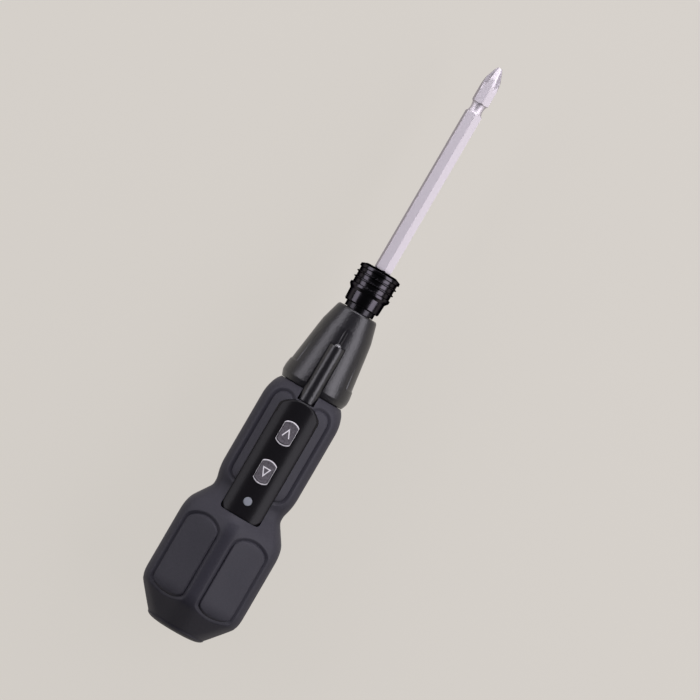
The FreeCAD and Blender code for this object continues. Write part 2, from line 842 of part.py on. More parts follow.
def panel():
    skin = panel_round("panel_skin", "panel_bow")
    under = panel_round("panel_under", "panel_bow - panel_thick")
    prism = extrude("panel_prism", free_sketch("panel_plan", panel_plan("0")), "overrun")
    plate = common("panel_blank", prism, skin)
    holes = [under]
    for name in ("forward", "reverse"):
        outline = button_plan(f"{name}_x", "button_gap + bezel_wide + bezel_gap")
        plan = free_sketch(f"{name}_hole_plan", outline)
        holes.append(extrude(f"{name}_hole", plan, "overrun"))
    holes.append(rod_z("indicator_hole", "indicator_r + indicator_gap", "indicator_x", "0", "0", "overrun"))
    keep("button_panel", cut("button_panel", plate, fuse("panel_holes", *holes)))

    pipe = rod_z("pipe_rod", "indicator_r", "indicator_x", "0", "board_low + board_thick", "overrun")
    pipe_skin = panel_round("pipe_skin", "panel_bow - indicator_drop")
    keep("indicator_pipe", common("indicator_pipe", pipe, pipe_skin))

    rings = []
    for name in ("forward", "reverse"):
        plan = free_sketch(f"{name}_bezel_plan", button_plan(f"{name}_x", "button_gap + bezel_wide"))
        draw(plan, button_plan(f"{name}_x", "button_gap"))
        ring = extrude(f"{name}_bezel_prism", plan, "overrun")
        ring_skin = panel_round(f"{name}_bezel_skin", "panel_bow + bezel_rise")
        topped = common(f"{name}_bezel_blank", ring, ring_skin)
        floor = panel_round(f"{name}_bezel_under", "panel_bow - panel_thick")
        rings.append(cut(f"{name}_bezel", topped, floor))
    keep("button_bezels", group("button_bezels", *rings))


def button(name):
    """One push button: cap, hidden lip and stem, with the switch plunger under it."""
    middle = f"{name}_x"
    cap = common(
        f"{name}_cap",
        extrude(f"{name}_cap_prism", free_sketch(f"{name}_cap_plan", button_plan(middle, "0")), "overrun"),
        panel_round(f"{name}_cap_skin", "panel_bow + button_rise"),
        box(
            f"{name}_cap_slab",
            (f"{middle} - overrun", f"{middle} + overrun"),
            ("-overrun", "overrun"),
            ("button_lip_top", "overrun"),
        ),
    )
    lip_plan = free_sketch(f"{name}_lip_plan", button_plan(middle, "button_lip"))
    lip = extrude(f"{name}_lip", lip_plan, "button_lip_top", "-(button_lip_top - button_lip_thick)")
    plunger_top = "board_low + board_thick + plunger_tall"
    stem = rod_z(f"{name}_stem", "stem_r", middle, "0", plunger_top, "button_lip_top")
    keep(f"{name}_button", fuse(f"{name}_button", cap, lip, stem))
    plunger = rod_z(f"{name}_plunger", "plunger_r", middle, "0", f"{plunger_top} - plunger_long", plunger_top)
    keep(f"{name}_plunger", plunger)


def boards():
    board_top = "board_low + board_thick"
    span = (("board_rear_x", "board_front_x"), ("-board_half", "board_half"), ("board_low", board_top))
    keep("main_board", box("main_board", *span))
    bases = []
    for name in ("forward", "reverse"):
        block = box(
            f"{name}_switch_block",
            (f"{name}_x - switch_half", f"{name}_x + switch_half"),
            ("-switch_half", "switch_half"),
            (board_top, f"{board_top} + switch_tall"),
        )
        well = rod_z(
            f"{name}_switch_well",
            "plunger_r + plunger_gap",
            f"{name}_x",
            "0",
            f"{board_top} + switch_floor",
            f"{board_top} + 2 * switch_tall",
        )
        bases.append(cut(f"{name}_switch", block, well))
    keep("switch_bases", group("switch_bases", *bases))

    charge = (("charge_rear_x", "charge_front_x"), ("-charge_half", "charge_half"))
    keep("charge_board", box("charge_board", *charge, ("-usb_half_tall - charge_thick", "-usb_half_tall")))
    shell_plan = free_sketch("usb_shell_plan", stadium("usb_half_wide", "usb_half_tall"), YZ_TURN)
    draw(shell_plan, stadium("usb_half_wide - usb_wall", "usb_half_tall - usb_wall"))
    shell = extrude("usb_shell", shell_plan, "usb_front_x", "-usb_rear_x")
    back_plan = free_sketch("usb_back_plan", stadium("usb_half_wide", "usb_half_tall"), YZ_TURN)
    back = extrude("usb_back", back_plan, "usb_front_x", "-(usb_front_x - 2 * usb_wall)")
    tongue = box(
        "usb_tongue",
        ("usb_tongue_rear_x", "usb_front_x - usb_wall"),
        ("-usb_tongue_half", "usb_tongue_half"),
        ("-usb_tongue_thick / 2", "usb_tongue_thick / 2"),
    )
    keep("usb_socket", fuse("usb_socket", shell, back, tongue))


def rear_cap():
    dome = ("0", "cap_flat_r")
    rim = ("butt_rim_x", "butt_rim_r")
    reach = "butt_rim_x"
    rise = "(butt_rim_r - cap_flat_r)"
    body = turned(
        "rear_cap",
        [
            ("0", "0"),
            (*dome, f"({reach} ^ 2 + {rise} ^ 2) / (2 * {reach})", 1),
            rim,
            ("butt_rim_x", "cap_neck_r"),
            ("cap_flange_rear_x", "cap_neck_r"),
            ("cap_flange_rear_x", "cap_flange_r"),
            ("cap_flange_front_x", "cap_flange_r"),
            ("cap_flange_front_x", "cap_inner_r"),
            ("butt_rim_x", "cap_inner_r"),
            ("butt_rim_x", "0"),
        ],
    )
    port = stadium("port_half_wide", "port_half_tall")
    bored(body, "port_slot", port, "0", "cap_flange_front_x", backward=False)
    keep("rear_cap", body)


def battery():
    body = turned(
        "battery_cell",
        [
            ("cell_rear_x", "0"),
            ("cell_rear_x", "cell_r - cell_edge"),
            ("cell_rear_x + cell_edge", "cell_r"),
            ("cell_front_x - cell_edge", "cell_r"),
            ("cell_front_x", "cell_r - cell_edge"),
            ("cell_front_x", "cell_button_r"),
            ("cell_button_front_x", "cell_button_r"),
            ("cell_button_front_x", "0"),
        ],
    )
    keep("battery_cell", body)
    plate = (("-tab_half_wide", "tab_half_wide"), ("-tab_half_tall", "tab_half_tall"))
    rear = box("rear_tab", ("cell_rear_x - tab_thick", "cell_rear_x"), *plate)
    front = box("front_tab", ("cell_button_front_x", "cell_button_front_x + tab_thick"), *plate)
    keep("battery_tabs", group("battery_tabs", rear, front))


def nose():
    slope = "((nose_band_r - nose_kink_r) / (nose_kink_x - nose_band_x))"
    body = turned(
        "nose_cone",
        [
            ("flange_rear_x", "gear_bore_r"),
            ("flange_rear_x", "flange_r"),
            ("flange_front_x", "flange_r"),
            ("flange_front_x", "nose_neck_r"),
            ("nose_rear_x", "nose_neck_r"),
            ("nose_rear_x", "nose_rear_r"),
            ("nose_lip_x", "nose_band_r"),
            ("nose_band_x", "nose_band_r"),
            ("nose_kink_x", "nose_kink_r"),
            ("nose_edge_x", "nose_edge_r"),
            ("nose_front_x", "nose_front_r"),
            ("nose_front_x", "nose_hole_r"),
            ("bush_front_x", "nose_hole_r"),
            ("bush_front_x", "bush_r"),
            ("bush_flange_front_x", "bush_r"),
            ("bush_flange_front_x", "bush_pocket_r"),
            ("gear_bore_front_x", "bush_pocket_r"),
            ("gear_bore_front_x", "gear_bore_r"),
        ],
    )
    for side in (1, -1):
        sign = "" if side > 0 else "-"
        wedge = [
            ("recess_rear_x", f"nose_band_r - {slope} * (recess_rear_x - nose_band_x) - recess_deep"),
            ("recess_rear_x", "nose_band_r + wall"),
            ("recess_front_x", "nose_band_r + wall"),
            ("recess_front_x", f"nose_band_r - {slope} * (recess_front_x - nose_band_x)"),
        ]
        name = f"side_recess_{'left' if side > 0 else 'right'}"
        sketch = body_sketch(body, name + "_section", "XY_Plane", [(x, f"{sign}({y})") for x, y in wedge])
        groove = body.newObject("PartDesign::Groove", name)
        groove.Profile = sketch
        groove.ReferenceAxis = (sketch, ["H_Axis"])
        groove.Angle = RECESS_SPREAD
        groove.Midplane = True
    rear_plan = tongue_plan("rib_rear_half", "rib_rear_top", "0")
    front_plan = tongue_plan("rib_front_half", "rib_front_top", "0")
    rear = body_sketch(body, "light_rib_rear", "YZ_Plane", rear_plan, "rib_rear_x")
    front = body_sketch(body, "light_rib_front", "YZ_Plane", front_plan, "rib_front_x")
    rib = body.newObject("PartDesign::AdditiveLoft", "light_rib")
    rib.Profile = rear
    rib.Sections = [front]
    rib.Ruled = True
    doc.recompute()
    seat = round_outline("light_r + light_gap", "0", "light_z")
    bored(body, "light_seat", seat, "rib_front_x", "rib_front_x - light_rear_x")
    wire_way = round_outline("wire_way_r", "0", "light_z")
    bored(body, "wire_way", wire_way, "light_rear_x", "light_rear_x - flange_rear_x")
    channel = round_outline("channel_r", "0", "channel_z")
    bored(body, "light_channel", channel, "rib_front_x", "channel_front_x - rib_front_x", backward=False)
    keep("nose_cone", body)

    lamp = turned(
        "work_light",
        [
            ("light_rear_x", "0"),
            ("light_rear_x", "light_r"),
            ("light_dome_x", "light_r", "light_r", 1),
            ("light_dome_x + light_r", "0"),
        ],
    )
    keep("work_light", place(lamp, "0", "0", "light_z"))


def double_flat(name, radius, flat, rear, front):
    """A round bar along X with two flats across Z."""
    bar = rod_x(name + "_round", radius, rear, front)
    slab = box(name + "_slab", (rear, front), ("-overrun", "overrun"), (f"-({flat})", flat))
    return common(name, bar, slab)


def motor():
    inner = "can_r - can_wall"
    inner_flat = "can_flat - can_wall"
    can = double_flat("can_body", "can_r", "can_flat", "can_rear_x", "can_front_x")
    can_tools = [
        double_flat("can_inside", inner, inner_flat, "can_rear_x", "can_front_x - can_wall"),
        rod_x("can_boss_hole", "front_bush_r", "front_bush_rear_x", "front_bush_front_x"),
    ]
    plate = rod_x("plate_disc", "plate_r", "can_front_x", "plate_front_x")
    plate_tools = [rod_x("plate_boss_hole", "plate_hole_r", "can_front_x", "plate_front_x")]
    bolts = []
    head_seat = "plate_front_x - motor_screw_head_tall"
    for k, side in enumerate((1, -1)):
        y = f"{side} * motor_screw_y"
        hole = ("motor_screw_r", "motor_screw_rear_x", "plate_front_x", y)
        can_tools.append(rod_x(f"can_screw_hole_{k}", *hole))
        plate_tools.append(rod_x(f"plate_screw_hole_{k}", *hole))
        plate_tools.append(rod_x(f"plate_sink_{k}", "motor_screw_head_r", head_seat, "plate_front_x", y))
        head = rod_x(f"motor_screw_head_{k}", "motor_screw_head_r", head_seat, "plate_front_x", y)
        shank = rod_x(f"motor_screw_shank_{k}", "motor_screw_r", "motor_screw_rear_x", head_seat, y)
        bolts.append(fuse(f"motor_screw_{k}", head, shank))
    keep("motor_can", cut("motor_can", can, fuse("can_tools", *can_tools)))
    keep("motor_plate", cut("motor_plate", plate, fuse("plate_tools", *plate_tools)))
    keep("motor_screws", group("motor_screws", *bolts))

    bell = double_flat("bell_body", "can_r", "can_flat", "bell_rear_x", "can_rear_x")
    bell_bore = rod_x("bell_bore", "shaft_r + can_gap", "bell_rear_x", "can_rear_x")
    bell_seat = rod_x("bell_seat", "rear_bush_r", "bell_rear_x", "rear_bush_front_x")
    keep("motor_end_bell", cut("motor_end_bell", bell, fuse("bell_tools", bell_bore, bell_seat)))
    bore = "shaft_r + shaft_gap"
    rear_bush = tube_x("rear_motor_bush", "rear_bush_r", bore, "bell_rear_x", "rear_bush_front_x")
    front_bush = tube_x("front_motor_bush", "front_bush_r", bore, "front_bush_rear_x", "front_bush_front_x")
    keep("motor_bushes", group("motor_bushes", rear_bush, front_bush))

    magnets, brushes = [], []
    for name, side in (("left", 1), ("right", -1)):
        span = ("magnet_rear_x", "magnet_front_x")
        ring = tube_x(f"magnet_ring_{name}", f"{inner} - can_gap", "magnet_inner_r", *span)
        ys = ("magnet_apart", "overrun") if side > 0 else ("-overrun", "-magnet_apart")
        tall = (f"-({inner_flat}) + can_gap", f"{inner_flat} - can_gap")
        slab = box(f"magnet_slab_{name}", ("magnet_rear_x", "magnet_front_x"), ys, tall)
        magnets.append(common(f"magnet_{name}", ring, slab))
        ys = ("brush_inner_y", "brush_outer_y") if side > 0 else ("-brush_outer_y", "-brush_inner_y")
        tall = ("-brush_half_tall", "brush_half_tall")
        brushes.append(box(f"brush_{name}", ("can_rear_x", "brush_front_x"), ys, tall))
    keep("motor_magnets", group("motor_magnets", *magnets))
    keep("motor_brushes", group("motor_brushes", *brushes))


def armature():
    keep("motor_shaft", rod_x("motor_shaft", "shaft_r", "shaft_rear_x", "shaft_front_x"))
    bars = tube_x("commutator", "commutator_r", "shaft_r", "commutator_rear_x", "commutator_front_x")
    keep("commutator", bars)
    slots = [rod_x("core_bore", "shaft_r", "core_rear_x", "core_front_x")]
    for k in range(PLANET_COUNT):
        angle = 2 * math.pi * (k + 0.5) / PLANET_COUNT
        spot = (f"slot_ring_r * {math.cos(angle):.12f}", f"slot_ring_r * {math.sin(angle):.12f}")
        slots.append(rod_x(f"core_slot_{k}", "slot_r", "core_rear_x", "core_front_x", *spot))
        mouth = doc.addObject("Part::Box", f"core_mouth_{k}")
        bind(mouth, Length="core_front_x - core_rear_x", Width="core_r", Height="slot_mouth")
        corner = (f"{spot[0]} + slot_mouth / 2 * {math.sin(angle):.12f}",
                  f"{spot[1]} - slot_mouth / 2 * {math.cos(angle):.12f}")
        turn = FreeCAD.Rotation(X_AXIS, math.degrees(angle))
        slots.append(place(mouth, "core_rear_x", *corner, turn=turn))
    core = rod_x("core_bar", "core_r", "core_rear_x", "core_front_x")
    keep("rotor_core", cut("rotor_core", core, fuse("core_tools", *slots)))
    rear = tube_x("rear_winding", "winding_r", "winding_inner_r", "core_rear_x - winding_long", "core_rear_x")
    front_end = "core_front_x + winding_long"
    front = tube_x("front_winding", "winding_r", "winding_inner_r", "core_front_x", front_end)
    keep("rotor_windings", group("rotor_windings", rear, front))


def involute(radius, base):
    angle = math.acos(min(base / radius, 1))
    return math.tan(angle) - angle


def gear_face(teeth, root, tip, thinning):
    """A toothed outline in the YZ plane, a tooth on +Y, its flanks arcs through the involute."""
    module = size("gear_module")
    pitch = module * teeth / 2
    base = pitch * math.cos(PRESSURE_ANGLE)
    half_pitch = math.pi / (2 * teeth) - thinning / (2 * pitch) + involute(pitch, base)
    foot = max(root, base)
    flank = [foot, (foot + tip) / 2, tip]

    def point(radius, angle):
        return Vector(0, radius * math.cos(angle), radius * math.sin(angle))

    def half_angle(radius):
        return half_pitch - involute(max(radius, base), base)

    edges = []
    for k in range(teeth):
        middle = 2 * math.pi * k / teeth
        following = middle + 2 * math.pi / teeth
        rising = [point(r, middle - half_angle(r)) for r in flank]
        falling = [point(r, middle + half_angle(r)) for r in reversed(flank)]
        low_rise = point(root, middle - half_angle(foot))
        low_fall = point(root, middle + half_angle(foot))
        next_rise = point(root, following - half_angle(foot))
        if root < base:
            edges.append(Part.makeLine(low_rise, rising[0]))
        edges.append(Part.Arc(*rising).toShape())
        edges.append(Part.Arc(rising[2], point(tip, middle), falling[0]).toShape())
        edges.append(Part.Arc(*falling).toShape())
        if root < base:
            edges.append(Part.makeLine(falling[2], low_fall))
        edges.append(Part.Arc(low_fall, point(root, (middle + following) / 2), next_rise).toShape())
    return Part.Face(Part.Wire(edges))


def gear_solid(teeth, length, lead=0):
    """An outside gear standing on the YZ plane, turned by a lead angle in degrees."""
    module = size("gear_module")
    pitch = module * teeth / 2
    root = pitch - DEDENDUM_SHARE * module
    tip = pitch + ADDENDUM_SHARE * module
    face = gear_face(teeth, root, tip, size("gear_backlash"))
    solid = face.extrude(X_AXIS * length)
    solid.rotate(Vector(), X_AXIS, lead)
    return solid


def bar(radius, length):
    return Part.makeCylinder(radius, length, Vector(), X_AXIS)


def shaped(label, shape, x, y=0, z=0):
    """A piece made by formula, set at its place."""
    feature = doc.addObject("Part::Feature", label)
    feature.Shape = shape
    feature.Placement = FreeCAD.Placement(Vector(x, y, z), FreeCAD.Rotation())
    return keep(label, feature)


def planet_centres():
    reach = size("gear_module") * (SUN_TEETH + PLANET_TEETH) / 2
    angles = [2 * math.pi * k / PLANET_COUNT for k in range(PLANET_COUNT)]
    return [(reach * math.cos(angle), reach * math.sin(angle)) for angle in angles]


def gear_train():
    """Two planetary stages in one ring gear."""
    long = size("gear_long")
    module = size("gear_module")
    half_tooth = 180 / SUN_TEETH
    pitch = module * RING_TEETH / 2
    ring_long = size("gear_bore_front_x - plate_front_x")
    teeth = gear_face(
        RING_TEETH, pitch - RING_TIP_SHARE * module, pitch + DEDENDUM_SHARE * module, -size("gear_backlash")
    )
    toothed = bar(size("plate_r"), ring_long).cut(teeth.extrude(X_AXIS * ring_long))
    shaped("ring_gear", toothed, size("plate_front_x"))

    pinion_long = size("shaft_front_x - pinion_rear_x")
    pinion = gear_solid(SUN_TEETH, pinion_long, half_tooth).cut(bar(size("shaft_r"), pinion_long))
    shaped("motor_pinion", pinion, size("pinion_rear_x"))

    carrier_thick = size("carrier_thick")
    carrier = bar(size("carrier_r"), carrier_thick)
    sun = gear_solid(SUN_TEETH, size("second_sun_long"), half_tooth)
    sun.translate(X_AXIS * carrier_thick)
    carrier = carrier.fuse(sun)
    output_thick = size("second_carrier_thick")
    output = bar(size("carrier_r"), output_thick)
    flats = size("tail_flats") + 2 * size("tail_gap")
    corner_r = flats / 2 / HALF_FLAT
    corners = [
        Vector(0, corner_r * math.cos(k * math.pi / 3), corner_r * math.sin(k * math.pi / 3))
        for k in range(FLATS + 1)
    ]
    output = output.cut(Part.Face(Part.makePolygon(corners)).extrude(X_AXIS * output_thick))
    planet = gear_solid(PLANET_TEETH, long).cut(bar(size("planet_bore_r"), long))
    second_planet_x = size("first_carrier_x + carrier_thick + carrier_gap")
    pins = {"first": [], "second": []}
    for letter, (y, z) in zip("abc", planet_centres()):
        spot = Vector(0, y, z)
        for stage, plate_x, thick, planet_x in (
            ("first", size("first_carrier_x"), carrier_thick, size("first_planet_x")),
            ("second", size("second_carrier_x"), output_thick, second_planet_x),
        ):
            shaped(f"{stage}_planet_{letter}", planet.copy(), planet_x, y, z)
            pin = Part.makeCylinder(size("pin_r"), plate_x + thick - planet_x, Vector(planet_x, y, z), X_AXIS)
            pins[stage].append(pin)
        hole = Part.makeCylinder(size("pin_r"), output_thick, spot, X_AXIS)
        carrier = carrier.cut(Part.makeCylinder(size("pin_r"), carrier_thick, spot, X_AXIS))
        output = output.cut(hole)
    shaped("first_carrier", carrier, size("first_carrier_x"))
    shaped("second_carrier", output, size("second_carrier_x"))
    for stage, solids in pins.items():
        shaped(f"{stage}_pins", Part.makeCompound(solids), 0)


def spindle():
    turn = FreeCAD.Rotation(X_AXIS, BIT_TURN)
    body = turned(
        "spindle",
        [
            ("spindle_shoulder_x", "0"),
            ("spindle_shoulder_x", "spindle_r"),
            ("clip_x - clip_gap", "spindle_r"),
            ("clip_x - clip_gap", "clip_inner_r - clip_gap"),
            ("clip_x + clip_thick + clip_gap", "clip_inner_r - clip_gap"),
            ("clip_x + clip_thick + clip_gap", "spindle_r"),
            ("neck_rear_x", "spindle_r"),
            ("neck_rear_x", "neck_r"),
            ("spring_seat_x", "neck_r"),
            ("spring_seat_x", "chuck_r"),
            ("ring_x - clip_gap", "chuck_r"),
            ("ring_x - clip_gap", "ring_inner_r - clip_gap"),
            ("ring_x + ring_thick + clip_gap", "ring_inner_r - clip_gap"),
            ("ring_x + ring_thick + clip_gap", "chuck_r"),
            ("mouth_x", "chuck_r"),
            ("mouth_x", "0"),
        ],
    )
    tail_plan = hexagon("tail_flats")
    tail_sketch = body_sketch(body, "tail_outline", "YZ_Plane", tail_plan, "second_carrier_x", -BIT_TURN)
    tail = body.newObject("PartDesign::Pad", "tail")
    tail.Profile = tail_sketch
    bind(tail, Length="spindle_shoulder_x - second_carrier_x")
    bored(body, "bit_socket", hexagon("socket_flats"), "mouth_x", "mouth_x - socket_floor_x")
    bored(body, "magnet_seat", round_outline("magnet_r"), "socket_floor_x", "magnet_long")
    ball_way = round_outline("ball_r + ball_gap", "ball_x")
    ball_sketch = body_sketch(body, "ball_way_outline", "XY_Plane", ball_way)
    ways = body.newObject("PartDesign::Pocket", "ball_ways")
    ways.Profile = ball_sketch
    ways.Type = "ThroughAll"
    ways.Midplane = True
    keep("spindle", place(body, turn=turn))

    magnet = rod_x("socket_magnet", "magnet_r", "socket_floor_x - magnet_long", "socket_floor_x")
    keep("socket_magnet", magnet)
    for letter, side in (("a", 1), ("b", -1)):
        ball = doc.addObject("Part::Sphere", f"lock_ball_{letter}")
        bind(ball, Radius="ball_r")
        reach = f"{side} * ball_ring_r"
        lean = math.radians(BIT_TURN)
        place(ball, "ball_x", f"{reach} * {-math.sin(lean):.12f}", f"{reach} * {math.cos(lean):.12f}")
        keep(f"lock_ball_{letter}", ball)

    for label, outer, inner, rear, thick in (
        ("spindle_clip", "clip_r", "clip_inner_r", "clip_x", "clip_thick"),
        ("sleeve_ring", "ring_r", "ring_inner_r", "ring_x", "ring_thick"),
    ):
        washer = tube_x(f"{label}_washer", outer, inner, rear, f"{rear} + {thick}")
        mouth = box(
            f"{label}_mouth",
            (rear, f"{rear} + {thick}"),
            ("-clip_mouth / 2", "clip_mouth / 2"),
            ("-overrun", "0"),
        )
        keep(label, cut(label, washer, mouth))

    bush = turned(
        "spindle_bush",
        [
            ("bush_rear_x", "bush_bore_r"),
            ("bush_rear_x", "bush_flange_r"),
            ("bush_flange_front_x", "bush_flange_r"),
            ("bush_flange_front_x", "bush_r"),
            ("bush_front_x", "bush_r"),
            ("bush_front_x", "bush_bore_r"),
        ],
    )
    keep("spindle_bush", bush)


def sleeve():
    valley = bow_radius("(crest_two_x - crest_one_x) / 2", "valley_deep")
    body = turned(
        "release_sleeve",
        [
            ("sleeve_rear_x", "sleeve_bore_r"),
            ("sleeve_rear_x", "sleeve_edge_r"),
            ("sleeve_skirt_x", "sleeve_skirt_r"),
            ("sleeve_step_x", "sleeve_step_r"),
            ("sleeve_ramp_x", "crest_r"),
            ("crest_one_x", "crest_r", valley, -1),
            ("crest_two_x", "crest_r"),
            ("crest_two_x + crest_wide", "crest_r", valley, -1),
            ("crest_three_x", "crest_r"),
            ("crest_three_x + crest_wide", "crest_r", valley, -1),
            ("crest_four_x", "crest_r"),
            ("sleeve_brow_x", "sleeve_brow_r"),
            ("sleeve_front_x", "sleeve_mouth_r"),
            ("cone_front_x", "sleeve_mouth_r"),
            ("cone_front_x", "cone_front_r"),
            ("cone_rear_x", "cone_rear_r"),
            ("spring_front_x", "cone_rear_r"),
            ("spring_front_x", "sleeve_bore_r"),
        ],
    )
    keep("release_sleeve", body)

    helix = doc.addObject("Part::Helix", "spring_line")
    bind(helix, Pitch="spring_pitch", Radius="spring_r")
    bind(helix, Height="spring_front_x - spring_seat_x - 2 * spring_wire_r - 2 * shaft_gap")
    wire = doc.addObject("Part::Circle", "spring_wire")
    bind(wire, Radius="spring_wire_r")
    place(wire, "spring_r", turn=FreeCAD.Rotation(X_AXIS, 90))
    spring = doc.addObject("Part::Sweep", "sleeve_spring")
    spring.Sections = [wire]
    spring.Spine = (helix, ["Edge1"])
    spring.Solid = True
    spring.Frenet = True
    place(spring, "spring_seat_x + spring_wire_r + shaft_gap", turn=FreeCAD.Rotation(Y_AXIS, 90))
    keep("sleeve_spring", spring)
    print("spring turns stand", round(size("spring_pitch - 2 * spring_wire_r"), 3), "mm apart")


def bit():
    """A double-ended bit, made about its own middle."""
    body = doc.addObject("PartDesign::Body", "screwdriver_bit")
    bar_sketch = body_sketch(body, "bit_hexagon", "YZ_Plane", hexagon("bit_flats"), "-bit_half_long")
    stock = body.newObject("PartDesign::Pad", "bit_stock")
    stock.Profile = bar_sketch
    bind(stock, Length="2 * bit_half_long")
    neck_bow = bow_radius("(bit_neck_rear - bit_neck_front) / 2 - bit_neck_step", "bit_neck_bow")
    turned_end = [
        ("bit_half_long", "bit_tip_r"),
        ("bit_half_long - bit_cone_long", "bit_cone_r"),
        ("bit_half_long - bit_ogive_long", "bit_ogive_r"),
        ("bit_half_long - bit_turned_long", "bit_turned_r"),
        ("bit_half_long - bit_turned_long", "2 * bit_turned_r"),
        ("bit_half_long + bit_cone_long", "2 * bit_turned_r"),
        ("bit_half_long + bit_cone_long", "bit_tip_r"),
    ]
    turned_neck = [
        ("bit_half_long - bit_neck_rear", "bit_turned_r"),
        ("bit_half_long - bit_neck_rear + bit_neck_step", "bit_neck_r", neck_bow, -1),
        ("bit_half_long - bit_neck_front - bit_neck_step", "bit_neck_r"),
        ("bit_half_long - bit_neck_front", "bit_turned_r"),
    ]
    for name, side in (("front", 1), ("rear", -1)):
        sign = "" if side > 0 else "-"
        for form, outline in (("tip", turned_end), ("neck", turned_neck)):
            corners = []
            for corner in outline:
                bent = (corner[2], corner[3] * side) if len(corner) == 4 else ()
                corners.append((f"{sign}({corner[0]})", corner[1], *bent))
            sketch = body_sketch(body, f"{name}_{form}_section", "XY_Plane", corners)
            groove = body.newObject("PartDesign::Groove", f"{name}_{form}")
            groove.Profile = sketch
            groove.ReferenceAxis = (sketch, ["H_Axis"])
            groove.Angle = 360
        stations = (
            ("root", "bit_half_long + bit_tip_r", "flute_root_r"),
            ("end", "bit_half_long - flute_long", "flute_end_r"),
        )
        for k in range(FLUTE_COUNT):
            sections = []
            for end, station, apex in stations:
                wide = f"flute_outer_r - {apex}"
                corners = [("0", apex), (wide, "flute_outer_r"), (f"-({wide})", "flute_outer_r")]
                spin = 360 * (k + 0.5) / FLUTE_COUNT
                label = f"{name}_flute_{end}_{k}"
                sections.append(body_sketch(body, label, "YZ_Plane", corners, f"{sign}({station})", spin))
            flute = body.newObject("PartDesign::SubtractiveLoft", f"{name}_flute_{k}")
            flute.Profile = sections[0]
            flute.Sections = sections[1:]
            flute.Ruled = True
    middle = "socket_floor_x + bit_gap + bit_half_long"
    keep("screwdriver_bit", place(body, middle, turn=FreeCAD.Rotation(X_AXIS, BIT_TURN)))


shells()
panel()
button("forward")
button("reverse")
boards()
rear_cap()
battery()
screws()
nose()
motor()
armature()
gear_train()
spindle()
sleeve()
bit()
doc.recompute()

for thing in doc.Objects:
    if {"Invalid", "Error"} & set(thing.State):
        raise ValueError(f"{thing.Name} did not build: {thing.State}")
for thing in sub_parts:
    if thing.Shape.isNull() or not thing.Shape.isValid():
        raise ValueError(f"{thing.Label} has no valid shape")
    thing.Shape.exportStep(f"parts/{thing.Label}.step")
print("wrote", len(sub_parts), "pieces")
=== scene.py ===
"""Electric screwdriver: its looks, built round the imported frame.

Lengths are millimetres and become metres where a mesh is made. X runs from the butt to the
tip, Z out of the button side, and angles round the axis start at +Z and grow towards +Y.
"""

import bmesh
import bpy
import numpy as np
from math import atan2, ceil, cos, pi, radians, sin, sqrt, tau
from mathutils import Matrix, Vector


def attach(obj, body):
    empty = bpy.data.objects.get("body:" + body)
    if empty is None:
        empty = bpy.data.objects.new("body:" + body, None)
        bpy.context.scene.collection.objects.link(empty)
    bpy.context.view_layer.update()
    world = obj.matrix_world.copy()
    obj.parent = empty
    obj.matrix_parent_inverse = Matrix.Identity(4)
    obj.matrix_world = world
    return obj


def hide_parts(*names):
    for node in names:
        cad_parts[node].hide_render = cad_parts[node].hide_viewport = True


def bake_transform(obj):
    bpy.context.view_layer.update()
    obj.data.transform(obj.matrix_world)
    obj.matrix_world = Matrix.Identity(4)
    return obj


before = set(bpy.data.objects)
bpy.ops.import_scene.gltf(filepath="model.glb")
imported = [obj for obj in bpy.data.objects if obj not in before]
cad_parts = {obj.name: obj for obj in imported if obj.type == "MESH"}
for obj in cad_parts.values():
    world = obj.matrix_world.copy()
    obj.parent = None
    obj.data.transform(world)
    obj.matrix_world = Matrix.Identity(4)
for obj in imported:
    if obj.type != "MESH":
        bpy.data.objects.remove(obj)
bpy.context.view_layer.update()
scene = bpy.context.scene

MM = 0.001
# How far a cutting tool runs past the piece that it cuts.
OVERRUN = 40.0


def linear(colour):
    """An sRGB hex colour as linear red, green, blue and alpha."""
    parts = [int(colour[i : i + 2], 16) / 255 for i in (1, 3, 5)]
    return [p / 12.92 if p <= 0.04045 else ((p + 0.055) / 1.055) ** 2.4 for p in parts] + [1.0]


def per(size):
    """The scale of a grain, in object space, for features of this size in millimetres."""
    return 1 / (size * MM)


def bands_per(pitch):
    """The scale of a banded pattern for bands of this pitch in millimetres."""
    return pi / (10 * pitch * MM)


def wire(tree, node, links):
    """Sets each named input of a node to a value, or links it to an output or a node's first output."""
    for name, value in links.items():
        if isinstance(value, bpy.types.Node):
            value = value.outputs[0]
        if isinstance(value, bpy.types.NodeSocket):
            tree.links.new(value, node.inputs[name])
        else:
            node.inputs[name].default_value = value


def add(tree, kind, links, **settings):
    """A shader node with its settings and links."""
    node = tree.nodes.new("ShaderNode" + kind)
    for name, value in settings.items():
        setattr(node, name, value)
    wire(tree, node, links)
    return node


def blank(name):
    """A new material, its node tree, its one shader and the place on the piece."""
    material = bpy.data.materials.new(name)
    material.use_nodes = True
    tree = material.node_tree
    return material, tree, tree.nodes["Principled BSDF"], add(tree, "TexCoord", {}).outputs["Object"]


# How much the roughness of a finish changes from place to place, and how much duller pores and lines are.
GRAIN_SWAY, DUST_SWAY, HAZE_SWAY, DULLER = 0.06, 0.04, 0.1, 0.15
# How many grains wide the clouds of a moulded and of a metal finish are.
MOULDED_CLOUD, METAL_CLOUD = 24, 14
DUST_SIZE, HAZE_SIZE, PEEL_DEPTH = 0.7, 0.6, 0.05


